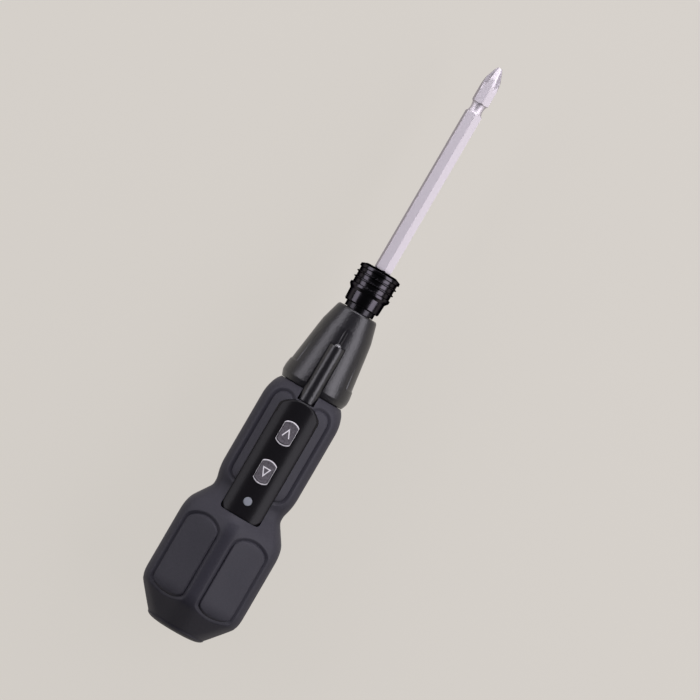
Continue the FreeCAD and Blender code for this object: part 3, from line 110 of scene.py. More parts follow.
def clad(tree, shader, tones, tone, rough, gloss, others, relief=None):
    """Gives a shader a tone between two, a roughness between two, its other inputs and a relief."""
    low, high = (linear(colour) for colour in tones)
    tint = add(tree, "Mix", {0: tone, 6: low, 7: high}, data_type="RGBA")
    sheen = add(tree, "MapRange", {"Value": gloss, "To Min": rough[0], "To Max": rough[1]})
    look = {"Base Color": tint.outputs[2], "Roughness": sheen, **others}
    if relief:
        look["Normal"] = add(tree, "Bump", relief)
    wire(tree, shader, look)


def moulded(name, low, high, grit, relief, rough, specular=0.5, ior=1.5):
    """Plastic from a spark-eroded mould: an even fine grain that breaks up the gloss."""
    material, tree, shader, place = blank(name)
    grain = add(tree, "TexNoise", {"Vector": place, "Scale": per(grit), "Detail": 3.0, "Roughness": 0.6})
    cloud = add(tree, "TexNoise", {"Vector": place, "Scale": per(MOULDED_CLOUD * grit), "Detail": 2.0})
    others = {"IOR": ior, "Specular IOR Level": specular}
    bump = {"Height": grain, "Strength": relief, "Distance": 0.1 * grit * MM}
    clad(tree, shader, (low, high), grain, (rough - GRAIN_SWAY, rough + GRAIN_SWAY), cloud, others, bump)
    return material


def polished(name, low, high, rough, specular=0.5, ior=1.49, peel=3.0):
    """Plastic from a polished mould: smooth reflections with a slight orange peel and fine dust."""
    material, tree, shader, place = blank(name)
    swell = add(tree, "TexNoise", {"Vector": place, "Scale": per(peel), "Detail": 1.0})
    dust = add(tree, "TexNoise", {"Vector": place, "Scale": per(DUST_SIZE), "Detail": 4.0, "Roughness": 0.7})
    others = {"IOR": ior, "Specular IOR Level": specular}
    bump = {"Height": swell, "Strength": 0.08, "Distance": PEEL_DEPTH * MM}
    clad(tree, shader, (low, high), dust, (rough - DUST_SWAY, rough + DUST_SWAY), dust, others, bump)
    return material


def resin(name, low, high, rough, clear):
    """Cast clear resin: light passes, softened by a fine haze inside."""
    material, tree, shader, place = blank(name)
    haze = add(tree, "TexNoise", {"Vector": place, "Scale": per(HAZE_SIZE), "Detail": 3.0})
    others = {"IOR": 1.54, "Transmission Weight": clear}
    clad(tree, shader, (low, high), haze, (rough, rough + HAZE_SWAY), haze, others)
    return material


def metal(name, low, high, grit, relief, rough, lay=(1.0, 1.0, 1.0), metallic=1.0, edge="#ffffff"):
    """Metal with the grain of its making: a small lay along an axis draws the grain out along it,
    and a dark edge colour keeps its steepest sides dull, as under a finish."""
    material, tree, shader, place = blank(name)
    drawn = add(tree, "Mapping", {"Vector": place, "Scale": lay})
    grain = add(tree, "TexNoise", {"Vector": drawn, "Scale": per(grit), "Detail": 4.0, "Roughness": 0.65})
    cloud = add(tree, "TexNoise", {"Vector": drawn, "Scale": per(METAL_CLOUD * grit), "Detail": 2.0})
    others = {"Metallic": metallic, "Specular Tint": linear(edge)}
    bump = {"Height": grain, "Strength": relief, "Distance": 0.08 * grit * MM}
    clad(tree, shader, (low, high), cloud, (rough - GRAIN_SWAY, rough + GRAIN_SWAY), grain, others, bump)
    return material


def sintered(name, low, high, pore, rough):
    """Pressed and sintered powder metal: dull, dotted with dark pores."""
    material, tree, shader, place = blank(name)
    cells = add(tree, "TexVoronoi", {"Vector": place, "Scale": per(pore)})
    solid = add(tree, "MapRange", {"Value": cells.outputs["Distance"], "From Min": 0.1, "From Max": 0.4})
    bump = {"Height": solid, "Strength": 0.4, "Distance": 0.1 * pore * MM}
    clad(tree, shader, (low, high), solid, (rough + DULLER, rough), solid, {"Metallic": 1.0}, bump)
    return material


def layered(name, low, high, pitch, rough, direction, coat=0.0):
    """Thin metal layers or wires side by side: a line between each two."""
    material, tree, shader, place = blank(name)
    lines = {"Vector": place, "Scale": bands_per(pitch), "Distortion": 0.6, "Detail": 2.0}
    wave = add(tree, "TexWave", lines, wave_type="BANDS", bands_direction=direction)
    bands = wave.outputs["Fac"]
    bump = {"Height": bands, "Strength": 0.6, "Distance": 0.3 * pitch * MM}
    others = {"Metallic": 1.0, "Coat Weight": coat}
    clad(tree, shader, (low, high), bands, (rough + DULLER, rough), bands, others, bump)
    return material


CLOTH_PITCH, CLOTH_DEPTH, TRACK_LONG = 0.5, 0.03, 3.0


def masked_board(name):
    """Glass-cloth board under green solder mask: a faint weave with lighter copper tracks below it."""
    material, tree, shader, place = blank(name)
    cloth = {"Vector": place, "Scale": bands_per(CLOTH_PITCH)}
    warp, weft = (
        add(tree, "TexWave", cloth, wave_type="BANDS", bands_direction=way).outputs["Fac"] for way in "XY"
    )
    weave = add(tree, "Math", {0: warp, 1: weft}, operation="MULTIPLY")
    lines = {"Vector": place, "Scale": 0.5 * per(TRACK_LONG), "Mortar Size": 0.04}
    mask = {"Color1": linear("#12563a"), "Color2": linear("#155f40"), "Mortar": linear("#3c9468")}
    tracks = add(tree, "TexBrick", {**lines, **mask}).outputs["Color"]
    gloss = add(tree, "MapRange", {"Value": weave, "To Min": 0.28, "To Max": 0.42})
    bump = add(tree, "Bump", {"Height": weave, "Strength": 0.3, "Distance": CLOTH_DEPTH * MM})
    wire(tree, shader, {"Base Color": tracks, "Roughness": gloss, "Normal": bump, "IOR": 1.55})
    return material


def cover(finish, *nodes):
    """Gives its finish to each node that comes from the CAD."""
    for node in nodes:
        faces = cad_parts[node].data.materials
        faces.clear()
        faces.append(finish)


PLANETS = [f"{stage}_planet_{letter}" for stage in ("first", "second") for letter in "abc"]

# The lay of a metal's grain: rings round X from turning, or lines along X from drawing.
TURNED = (1.0, 0.02, 0.02)
DRAWN = (0.02, 1.0, 1.0)

# A moulded or metal finish has its name, its two tones, and then its grain, relief and roughness. Grain,
# pores and bands are in millimetres. Grain, dust and pores are drawn a few times coarser than real ones,
# which are too fine to show. Each comment says what the finish gives the eye.

# Matt, with a broad grey sheen.
SOFT_ABS = moulded("soft_touch_abs", "#25242b", "#302f37", 0.7, 0.6, 0.56, specular=0.3)
# Glossier than the grip, with clear soft strips of light.
NOSE_NYLON = moulded("glass_filled_nylon", "#0e0d10", "#161519", 0.9, 1.0, 0.33, specular=0.52, ior=1.53)
# Deep black in the middle, a soft fade of light along its sides.
PANEL_ACRYLIC = polished("polished_black_acrylic", "#131214", "#1a191b", rough=0.26, specular=0.12)
# A speckled mid grey. The speckle is drawn coarser to show.
KEY_ABS = moulded("speckled_key_abs", "#040304", "#787479", 0.8, 0.6, 0.5, specular=0.3)
# A pale line round each key. Its near-white tone is a painted highlight, standing in for the light that the
# bright bezel reflects.
RING_PAINTED_HIGHLIGHT = moulded("ring_painted_highlight", "#d6d4d6", "#e6e4e6", 0.3, 0.1, 0.4)
# Flat and even, with a slight unevenness in its coverage.
KEY_INK = moulded("pad_printing_ink", "#d2d0d1", "#e6e5e6", 0.3, 0.1, 0.5)
# Pale grey and soft, with no clear reflection.
PIPE_PC = moulded("frosted_polycarbonate", "#787c83", "#8e9298", 0.4, 0.2, 0.42, ior=1.58)
# A bright rim with a darker middle.
cover(resin("lamp_epoxy", "#e4e8ec", "#ffffff", rough=0.04, clear=0.85), "work_light")
# Dark grey with streaked light.
cover(metal("black_oxide_steel", "#2b2a2c", "#38373a", 0.3, 0.2, 0.26, TURNED, edge="#4a494b"), "spindle")
# Near black, with crisp strips of light in its rings.
SLEEVE_ALUMINIUM = metal(
    "black_anodised_aluminium", "#363437", "#403e42", 0.35, 0.02, 0.2, TURNED, edge="#38373a"
)
# Pale, softly blurred reflections drawn along the bar.
BIT_STEEL = metal("satin_nickel_plate", "#c8c3c7", "#d3ced2", 1.0, 0.01, 0.57, DRAWN, edge="#2c2b2c")
# Bright grey with a faint cold bloom.
SCREW_ZINC = metal("zinc_plated_steel", "#9fa3a8", "#bcc0c4", 0.3, 0.15, 0.36)
cover(SCREW_ZINC, "motor_screws")
# Clear, with fine lines from the drawing die.
SOCKET_STAINLESS = metal("drawn_stainless_steel", "#b9b9b7", "#c9c8c6", 0.2, 0.12, 0.28, DRAWN)
# Matt black.
TONGUE_POLYMER = moulded("liquid_crystal_polymer", "#161617", "#202021", 0.25, 0.2, 0.5, ior=1.6)
# Warm and bright.
CONTACT_GOLD = metal("gold_flash", "#d8ab4e", "#e6be66", 0.15, 0.05, 0.22, DRAWN)
# Glossy green over a faint weave.
cover(masked_board("solder_masked_laminate"), "main_board", "charge_board")
# Plain matt black.
cover(moulded("switch_nylon", "#19191a", "#232324", 0.3, 0.3, 0.5, ior=1.53), "switch_bases")
# Waxy, slightly soft highlights.
cover(
    moulded("red_acetal", "#8c2019", "#a02a21", 0.4, 0.15, 0.38, ior=1.48),
    "forward_plunger", "reverse_plunger",
)
# Blue, glossy, faintly wrinkled.
cover(polished("shrunk_pvc_sleeve", "#245a80", "#2b6690", rough=0.26, ior=1.54, peel=1.6), "battery_cell")
# Warm pale grey with rolling lines along it.
cover(metal("rolled_nickel_strip", "#b3afa6", "#c4c0b7", 0.25, 0.15, 0.3, DRAWN), "battery_tabs")
# Smooth, with lines from the drawing die.
cover(metal("nickel_plated_drawn_steel", "#a9aaab", "#bcbdbe", 0.4, 0.12, 0.26, DRAWN), "motor_can")
# Ivory polyester end bell, satin moulded.
cover(moulded("end_bell_polyester", "#c3beae", "#d0cbbb", 0.4, 0.2, 0.45, ior=1.57), "motor_end_bell")
# Dull gold-brown with dark oil pores.
cover(
    sintered("sintered_bronze", "#5c4322", "#a37a43", pore=0.25, rough=0.42),
    "motor_bushes", "spindle_bush",
)
# Dull mid grey with fine pores.
cover(
    sintered("sintered_steel", "#55534f", "#8c8a86", pore=0.2, rough=0.38),
    "ring_gear", "first_carrier", "second_carrier", *PLANETS,
)
# Dark slate grey, matt.
cover(
    moulded("strontium_ferrite", "#2b2b2d", "#39393b", 0.3, 0.4, 0.6, ior=2.2, specular=0.3),
    "motor_magnets",
)
# Near black with a metallic glint.
cover(metal("pressed_carbon", "#1d1b1b", "#2e2a28", 0.15, 0.4, 0.5, metallic=0.6), "motor_brushes")
# Grey, with faint rolling lines.
cover(metal("cold_rolled_steel", "#8d8e90", "#a0a1a3", 0.4, 0.15, 0.34, DRAWN), "motor_plate")
# Bright, with fine grinding rings.
cover(
    metal("ground_hardened_steel", "#b2b1b0", "#c6c5c4", 0.2, 0.12, 0.18, TURNED),
    "motor_shaft", "first_pins", "second_pins",
)
# Warm red with bright rings.
cover(metal("turned_copper", "#b5653a", "#cd7d50", 0.25, 0.2, 0.28, TURNED), "commutator")
# Grey sheets with a dark line between each two.
cover(
    layered("silicon_steel_laminations", "#3d3d3f", "#85868a", pitch=0.5, rough=0.38, direction="X"),
    "rotor_core",
)
# Red-brown strands under a clear glossy coat.
cover(
    layered("enamelled_copper_wire", "#5a2412", "#b3582c", pitch=0.4, rough=0.28, direction="Y", coat=0.6),
    "rotor_windings",
)
# Yellow, with fine cutting marks along the teeth.
cover(metal("hobbed_brass", "#b89145", "#cfa95c", 0.2, 0.15, 0.26, DRAWN), "motor_pinion")
# Dark blue-grey, satin.
SPRING_STEEL = metal("blackened_spring_steel", "#3f4146", "#54565b", 0.25, 0.15, 0.32)
cover(SPRING_STEEL, "sleeve_ring", "spindle_clip")
# Bright and slightly soft.
cover(metal("nickel_plated_magnet", "#b6b4b0", "#c8c6c2", 0.35, 0.08, 0.22), "socket_magnet")
# Mirror bright.
cover(metal("polished_chrome_steel", "#c4c4c5", "#d2d2d3", 0.3, 0.03, 0.12), "lock_ball_a", "lock_ball_b")


# Points nearer than this, in metres, are one, and edges shorter than this are taken out.
SAME_POINT, NO_EDGE = 1e-7, 1e-8
SHARP_ANGLE = radians(32.0)
DISC_STEPS, STADIUM_STEPS = 48, 17
# The most of a side that the rounding of a corner takes.
CORNER_SHARE = 0.45
# A length in millimetres that is too small to matter.
TINY = 1e-9


def placed(name, data):
    """A new object in the scene."""
    obj = bpy.data.objects.new(name, data)
    scene.collection.objects.link(obj)
    return obj


def built(name, points, faces):
    """A mesh object from points in millimetres, doubles merged and faces turned outward."""
    mesh = bpy.data.meshes.new(name)
    form = bmesh.new()
    corners = [form.verts.new(Vector(p) * MM) for p in points]
    for face in faces:
        form.faces.new([corners[i] for i in face])
    bmesh.ops.remove_doubles(form, verts=form.verts, dist=SAME_POINT)
    bmesh.ops.dissolve_degenerate(form, edges=form.edges, dist=NO_EDGE)
    bmesh.ops.recalc_face_normals(form, faces=form.faces)
    form.to_mesh(mesh)
    form.free()
    return placed(name, mesh)


def grid_faces(rows, columns, start=0, wrap=False):
    """Faces of a grid of points stored row by row; wrap closes each row on itself."""
    faces = []
    for i in range(rows - 1):
        for j in range(columns if wrap else columns - 1):
            k = (j + 1) % columns
            a, b = start + i * columns, start + (i + 1) * columns
            faces.append((a + j, a + k, b + k, b + j))
    return faces


def bridge(first, second, count):
    """Faces between two closed rings of as many points."""
    following = [(j + 1) % count for j in range(count)]
    return [(first + j, first + k, second + k, second + j) for j, k in enumerate(following)]


def capped(name, rings):
    """A closed solid from rings of as many points, with flat ends."""
    count = len(rings[0])
    points = [p for ring in rings for p in ring]
    last = (len(rings) - 1) * count
    faces = grid_faces(len(rings), count, wrap=True)
    return built(name, points, faces + [tuple(range(count)), tuple(range(last, last + count))])


def looped(name, rings):
    """A closed solid from rings of as many points, the last joined to the first."""
    count = len(rings[0])
    points = [p for ring in rings for p in ring]
    faces = grid_faces(len(rings), count, wrap=True) + bridge((len(rings) - 1) * count, 0, count)
    return built(name, points, faces)


def carve(obj, tool, operation="DIFFERENCE"):
    """Cuts or joins a piece with a tool, which is used up."""
    cut = obj.modifiers.new("carve", "BOOLEAN")
    cut.operation = operation
    cut.solver = "EXACT"
    cut.object = tool
    graph = bpy.context.evaluated_depsgraph_get()
    mesh = bpy.data.meshes.new_from_object(obj.evaluated_get(graph))
    obj.modifiers.clear()
    obj.data = mesh
    bpy.data.objects.remove(tool)


def finished(obj, material):
    """Gives a piece its finish and its shading."""
    obj.data.materials.clear()
    obj.data.materials.append(material)
    obj.data.polygons.foreach_set("use_smooth", [True] * len(obj.data.polygons))
    obj.data.set_sharp_from_angle(angle=SHARP_ANGLE)


def dress(obj, material, body, slot, first=True):
    """Gives a piece its finish and its body; the first piece for a node hides that node, which it replaces.
    """
    finished(obj, material)
    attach(obj, body)
    if first:
        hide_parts(slot)


def prism(name, outline, low, high):
    """A plan outline raised straight up along Z."""
    return capped(name, [[(x, y, z) for x, y in outline] for z in (low, high)])


def disc(x, y, radius):
    """A round outline."""
    turns = [2 * pi * k / DISC_STEPS for k in range(DISC_STEPS)]
    return [(x + radius * cos(t), y + radius * sin(t)) for t in turns]


def stadium(half_wide, half_tall):
    """An outline with straight top and bottom and half-round ends, in Y and Z."""
    outline = []
    for side in (1, -1):
        for t in np.linspace(-pi / 2, pi / 2, STADIUM_STEPS):
            across = half_wide - half_tall + half_tall * cos(t)
            outline.append((side * across, side * half_tall * sin(t)))
    return outline


def bar_x(name, outline, rear, front):
    """A (y, z) outline drawn along X."""
    return capped(name, [[(x, y, z) for y, z in outline] for x in (rear, front)])


def eased(profile, radius, steps=4):
    """A closed outline with each corner rounded, less where its sides are short."""
    points = np.array(profile, float)
    soft = []
    for i, corner in enumerate(points):
        ends = []
        for side in (points[i - 1] - corner, points[(i + 1) % len(points)] - corner):
            long = np.linalg.norm(side)
            ends.append(corner + side / long * min(radius, CORNER_SHARE * long))
        start, end = ends
        for t in np.linspace(0, 1, steps + 1):
            soft.append((1 - t) ** 2 * start + 2 * t * (1 - t) * corner + t**2 * end)
    return np.array(soft)


def divided(profile, step):
    """A closed outline with its long sides divided."""
    points = []
    for i, a in enumerate(profile):
        b = profile[(i + 1) % len(profile)]
        count = max(1, int(ceil(np.linalg.norm(b - a) / step)))
        points += [a + (b - a) * k / count for k in range(count)]
    return np.array(points)


def whole_turn(steps):
    """Even angles once round."""
    return np.linspace(0, 2 * pi, steps, endpoint=False)


def around(x, r, angle):
    """Points at places along the axis, radii and angles."""
    return np.stack([x, r * np.sin(angle), r * np.cos(angle)], axis=-1)


def lathe(name, profile, turns, relief=None):
    """A closed (x, r) outline turned about X; relief lowers r by place."""
    profile = np.array(profile, float)
    x, angle = np.meshgrid(profile[:, 0], turns, indexing="ij")
    r = np.repeat(profile[:, 1:], len(turns), axis=1)
    if relief is not None:
        r = r - relief(x, r, angle)
    return looped(name, around(x, r, angle))


# The grip's stations: x, half width across the flats, radius at the ribs, and the line from the
# station before: straight, rising to level here, or falling from level there.
GRIP = (
    (2.4, 12.5, 12.5, "straight"),
    (12.2, 20.3, 22.0, "straight"),
    (17.2, 21.1, 23.1, "rising"),
    (42.6, 21.1, 23.1, "straight"),
    (48.6, 20.0, 21.7, "falling"),
    (56.4, 14.8, 15.9, "straight"),
    (59.4, 14.8, 15.9, "straight"),
    (67.4, 16.2, 17.6, "rising"),
    (96.4, 16.2, 17.6, "straight"),
    (104.0, 14.5, 15.2, "falling"),
    (105.7, 13.3, 13.3, "straight"),
)
# The blur that softens the stations' corners: its spread, its step and its reach in spreads.
GRIP_SOFTNESS, GRIP_FINE, BLUR_REACH = 0.8, 0.05, 4
SECTION_POWER = 64.0
FLAT_TURN = radians(60)
# Each pad: where its straight sides start and end, half width, and the bow of its rear and front ends.
PADS = ((14.2, 41.8, 8.1, 2.2, 3.4), (66.8, 97.3, 5.2, 4.4, 4.4))
PAD_CORNER, PAD_EDGE, FRAME_BEVEL, GROOVE_DEEP = 0.6, 0.65, 1.25, 0.75
PAD_EDGE_POWER, FRAME_BEVEL_POWER = 1.4, 1.15
SEAM_DEEP, SEAM_WIDE = 0.12, 0.25
WALL = 2.0
# Rows and columns of a half shell's mesh outside, and the step between those that the inside has.
GRIP_ROWS, GRIP_COLUMNS, INNER_STEP = 301, 301, 4
# How far round a pad's ends the rows lie closer, and by how much.
PAD_END_NEAR, PAD_END_CLOSER, STATION_STEPS = 3, 2.2, 4000


def grip_line(x, column):
    """The grip's half width or radius at x, with softened corners."""
    fine = np.arange(GRIP[0][0], GRIP[-1][0] + GRIP_FINE, GRIP_FINE)
    line = np.zeros_like(fine)
    for before, here in zip(GRIP, GRIP[1:]):
        inside = (fine >= before[0] - TINY) & (fine <= here[0] + TINY)
        share = (fine[inside] - before[0]) / (here[0] - before[0])
        if here[3] == "rising":
            share = 1 - (1 - share) ** 2
        if here[3] == "falling":
            share = share**2
        line[inside] = before[column] + (here[column] - before[column]) * share
    reach = int(BLUR_REACH * GRIP_SOFTNESS / GRIP_FINE)
    kernel = np.exp(-0.5 * (np.arange(-reach, reach + 1) * GRIP_FINE / GRIP_SOFTNESS) ** 2)
    front = 2 * line[-1] - line[-2 : -reach - 2 : -1]
    rear = 2 * line[0] - line[reach:0:-1]
    smooth = np.convolve(np.concatenate([rear, line, front]), kernel / kernel.sum(), mode="valid")
    return np.interp(x, fine, smooth)


def pad_distance(x, across, pad):
    """How far a point on a flat lies from a pad's outline, negative inside."""
    rear, front, half, rear_bow, front_bow = pad
    rear_r = (half**2 + rear_bow**2) / (2 * rear_bow)
    front_r = (half**2 + front_bow**2) / (2 * front_bow)
    sides = np.abs(across) - half
    behind = np.hypot(np.minimum(x - (rear - rear_bow + rear_r), 0), across) - rear_r
    ahead = np.hypot(np.maximum(x - (front + front_bow - front_r), 0), across) - front_r
    return PAD_CORNER * np.log(sum(np.exp(side / PAD_CORNER) for side in (sides, behind, ahead)))


def pad_groove(distance):
    """Depth of the groove round a pad: a steep edge inside, a longer bevel outside."""
    inside = np.clip(1 + distance / PAD_EDGE, 0, 1)
    outside = np.clip(1 - distance / FRAME_BEVEL, 0, 1)
    return GROOVE_DEEP * np.where(distance < 0, inside**PAD_EDGE_POWER, outside**FRAME_BEVEL_POWER)


def grip_radius(x, angle, grooved=True):
    """The grip's outside at a place along and round the axis."""
    flat, rib = grip_line(x, 1), grip_line(x, 2)
    off = np.mod(angle, FLAT_TURN) - FLAT_TURN / 2
    reach = flat / np.cos(off)
    radius = (reach**-SECTION_POWER + rib**-SECTION_POWER) ** (-1 / SECTION_POWER)
    if not grooved:
        return radius
    across = radius * np.sin(off)
    deep = np.zeros_like(radius)
    for pad in PADS:
        deep = np.maximum(deep, pad_groove(pad_distance(x, across, pad)))
    from_seam = radius * (np.abs(np.mod(angle, pi)) - pi / 2)
    return radius - deep - SEAM_DEEP * np.exp(-((from_seam / SEAM_WIDE) ** 2))


def grip_stations():
    """Rows of the grip's mesh, closer together where the pads end."""
    fine = np.linspace(GRIP[0][0], GRIP[-1][0], STATION_STEPS)
    close = np.ones_like(fine)
    for rear, front, _, rear_bow, front_bow in PADS:
        for low, high in ((rear - rear_bow, rear), (front, front + front_bow)):
            close += PAD_END_CLOSER * ((fine > low - PAD_END_NEAR) & (fine < high + PAD_END_NEAR))
    travel = np.concatenate([[0], np.cumsum((close[1:] + close[:-1]) / 2)])
    return np.interp(np.linspace(0, travel[-1], GRIP_ROWS), travel, fine)


def half_shell(name, start):
    """Half of the grip, from an angle to half a turn on: the outside, a plain inside and its rims."""
    rows = grip_stations()
    turns = np.linspace(start, start + pi, GRIP_COLUMNS)
    x, angle = np.meshgrid(rows, turns, indexing="ij")
    r = grip_radius(x, angle)
    outside = around(x, r, angle)
    inner_x, inner_angle = x[::INNER_STEP, ::INNER_STEP], angle[::INNER_STEP, ::INNER_STEP]
    inner_r = grip_radius(inner_x, inner_angle, grooved=False) - WALL
    inside = around(inner_x, inner_r, inner_angle)
    points = np.concatenate([outside.reshape(-1, 3), inside.reshape(-1, 3)])
    inner_rows, inner_columns = inside.shape[:2]
    base = GRIP_ROWS * GRIP_COLUMNS
    faces = grid_faces(GRIP_ROWS, GRIP_COLUMNS) + grid_faces(inner_rows, inner_columns, base)
    outer = np.arange(base).reshape(GRIP_ROWS, GRIP_COLUMNS)
    inner = base + np.arange(inner_rows * inner_columns).reshape(inner_rows, inner_columns)
    for wide, narrow in ((outer, inner), (outer.T, inner.T)):
        for i in range(len(narrow) - 1):
            for end in (0, -1):
                edge = wide[i * INNER_STEP : (i + 1) * INNER_STEP + 1, end]
                faces.append([*edge, narrow[i + 1, end], narrow[i, end]])
    return built(name, points, faces)


SQUARE_CORNER = 1.4
SQUARE_STEPS, BOW_STEPS, FILLET_STEPS = 8, 28, 6


def bowed_plan(rear, front, half, rear_bow, front_bow, corner, grow=0.0):
    """A plan outline with straight sides and bowed or square ends, its corners rounded."""
    outline = []
    side = half + grow
    for end, bow, way in ((front, front_bow, 1), (rear, rear_bow, -1)):
        if bow == 0:
            tight = SQUARE_CORNER + grow
            first = [
                (end + way * (grow - tight + tight * cos(t)), way * (tight - side + tight * sin(t)))
                for t in np.linspace(-pi / 2, 0, SQUARE_STEPS)
            ]
            outline += first + [(x, -y) for x, y in reversed(first)]
            continue
        radius = (half**2 + bow**2) / (2 * bow) + grow
        centre = end + way * (bow - radius + grow)
        tight = corner + grow
        fillet_x = centre + way * sqrt((radius - tight) ** 2 - (side - tight) ** 2)
        lean = atan2(side - tight, abs(fillet_x - centre))
        sweep = np.linspace(-lean, lean, BOW_STEPS)
        arc = [(centre + way * radius * cos(t), way * radius * sin(t)) for t in sweep]
        first = [
            (fillet_x + way * tight * cos(t), way * (tight - side + tight * sin(t)))
            for t in np.linspace(-pi / 2, -lean, FILLET_STEPS)[:-1]
        ]
        outline += first + arc + [(x, -y) for x, y in reversed(first)]
    return outline


PANEL_BOW, PANEL_TOP, PANEL_THICK, PANEL_GAP = 13.2, 17.2, 1.5, 0.1
PANEL_EDGE, PANEL_FRONT_EDGE, PANEL_BEVEL_FALL = 0.15, 0.5, 0.66
# Rear and front of the straight sides, half width, bow of the rear and front ends, and front corners.
PANEL_PLAN = (51.0, 97.0, 8.5, 0.0, 4.2, 2.6)
PANEL_SPINE = (53.7, 92.0)
KEY_HALF_LONG, KEY_HALF_WIDE, KEY_BOW, KEY_CORNER = 4.35, 2.8, 1.0, 0.5
KEY_RISE, KEY_THICK, KEY_DISH, KEY_EDGE, KEY_GAP = 0.5, 2.2, 0.15, 0.22, 0.15
KEY_SPINE_SHORT = 2.0
# The ring round a key is narrow at its sides and broad at its ends, so that its painted highlight shows most
# at the ends.
RING_SIDE, RING_END, RING_RISE, RING_GAP = 0.16, 0.32, 0.12, 0.03
RING_EDGE, RING_EASE, RING_FOOT = 0.08, 0.3, 0.1
# Each key: its name, its place, and the way that its sign points.
KEYS = (("forward", 87.8, 1), ("reverse", 70.8, -1))
SIGN_HALF_LONG, SIGN_HALF_WIDE, SIGN_STROKE, SIGN_STEPS = 1.6, 1.45, 0.42, 10
INK_PROUD, INK_SUNK = 0.03, -0.12
PIPE_X, PIPE_R, PIPE_GAP, PIPE_DROP, PIPE_THICK, PIPE_EDGE = 57.8, 1.7, 0.1, 0.05, 1.4, 0.15
# A plate's mesh: the step along its outline, how far ahead of its spine a front bevel starts and is full,
# the rings of its rim, and the rings of its top and its base as shares of the way in to the spine.
PLATE_STEP, BEVEL_AHEAD, RIM_RINGS = 0.6, (0.5, 1.5), 6
TOP_SHARES, BASE_SHARES = (0.04, 0.1, 0.2, 0.3, 0.4, 0.55, 0.75, 1.0), (1.0, 0.5, 0.0)
# The share of the way in at which a dish is at its depth.
DISH_SHARE = 0.4


def crown(y, rise=0.0):
    """Height of the panel's bowed top, or of a surface raised above it."""
    radius = PANEL_BOW + rise
    return PANEL_TOP - PANEL_BOW + np.sqrt(radius**2 - np.asarray(y, float) ** 2)


def key_plan(x, grow=0.0, longer=0.0):
    """A key's outline, grown all round or made longer."""
    long = KEY_HALF_LONG - KEY_BOW + longer
    return bowed_plan(x - long, x + long, KEY_HALF_WIDE, KEY_BOW, KEY_BOW, KEY_CORNER, grow)


def crowned_plate(name, outline, spine, rise, thick, edge, dish=0.0, front_edge=None):
    """A plate on the panel's crown, of rings from its outline in to its spine. Its rim is rounded, and
    with a front edge it is bevelled ahead of the spine."""
    outline = divided(np.array(outline), PLATE_STEP)
    ahead = [spine[1] + reach for reach in BEVEL_AHEAD]
    bevel = np.interp(outline[:, 0], ahead, (0.0, 1.0 if front_edge else 0.0))
    edge = edge + ((front_edge or edge) - edge) * bevel
    middle = np.stack([np.clip(outline[:, 0], *spine), np.zeros(len(outline))], axis=1)
    inward = middle - outline
    length = np.maximum(np.linalg.norm(inward, axis=1, keepdims=True), TINY)
    rings = []
    for step in np.linspace(0, 1, RIM_RINGS):
        turn = step * pi / 2
        inset = edge * ((1 - bevel) * (1 - cos(turn)) + bevel * step)
        drop = edge * ((1 - bevel) * (1 - sin(turn)) + bevel * PANEL_BEVEL_FALL * (1 - step))
        ring = outline + inward / length * inset[:, None]
        rings.append(np.column_stack([ring, crown(ring[:, 1], rise) - drop]))
    lip = rings[-1][:, :2]
    for share in TOP_SHARES:
        ring = lip + (middle - lip) * share
        hollow = dish * sin(min(share / DISH_SHARE, 1.0) * pi / 2)
        rings.append(np.column_stack([ring, crown(ring[:, 1], rise) - hollow]))
    top = len(rings)
    for share in BASE_SHARES:
        ring = outline + inward * share
        rings.append(np.column_stack([ring, crown(ring[:, 1], rise) - thick]))
    count = len(outline)
    faces = grid_faces(top, count, wrap=True)
    faces += grid_faces(len(rings) - top, count, top * count, wrap=True)
    faces += bridge((len(rings) - 1) * count, 0, count)
    return built(name, np.concatenate(rings), faces)


def key_ring(name, x):
    """The ring round a key, pale as a painted highlight and broader at its ends, where that highlight shows
    most.
    """
    outer = np.array(key_plan(x, KEY_GAP + RING_SIDE, RING_END))
    inner = np.array(key_plan(x, KEY_GAP))
    across = inner - outer
    wide = np.linalg.norm(across, axis=1, keepdims=True)
    ease = RING_EASE * RING_EDGE
    section = [(0.0, RING_FOOT - PANEL_THICK), (0.0, RING_RISE - RING_EDGE)]
    section += [(ease, RING_RISE - ease), (RING_EDGE, RING_RISE)]
    loops = [(outer + across / wide * inset, level) for inset, level in section]
    loops += [(inner - across / wide * inset, level) for inset, level in reversed(section)]
    return looped(name, [np.column_stack([ring, crown(ring[:, 1]) + level]) for ring, level in loops])


def key_sign(name, x, way, closed):
    """A printed triangle that points along the axis, open or closed at its foot, thin enough for ink."""
    foot, apex = np.array((-SIGN_HALF_LONG, SIGN_HALF_WIDE)), np.array((SIGN_HALF_LONG, 0.0))
    leg = (apex - foot) / np.linalg.norm(apex - foot)
    side = np.array((-leg[1], leg[0])) * SIGN_STROKE / 2
    mitre = np.array((SIGN_STROKE / 2 / -leg[1], 0.0))
    edges = []
    for out in (1, -1):
        tip = apex + mitre * out
        heel = tip + leg * (foot[0] - out * SIGN_STROKE / 2 - tip[0]) / leg[0]
        start = heel if closed else foot + side * out
        bar = [start * (1, k / SIGN_STEPS) for k in range(SIGN_STEPS)] if closed else []
        half = bar + [start + (tip - start) * k / SIGN_STEPS for k in range(SIGN_STEPS + 1)]
        mirrored = [(px, -py) for px, py in reversed(half[int(closed) : -1])]
        edges.append(np.array(half + mirrored) * way + (x, 0))
    floor = KEY_RISE - KEY_DISH
    rings = []
    for (px, py), (qx, qy) in zip(*edges):
        corners = [(px, py, INK_PROUD), (qx, qy, INK_PROUD), (qx, qy, INK_SUNK), (px, py, INK_SUNK)]
        rings.append([(cx, cy, crown(cy, floor) + lift) for cx, cy, lift in corners])
    return looped(name, rings) if closed else capped(name, rings)


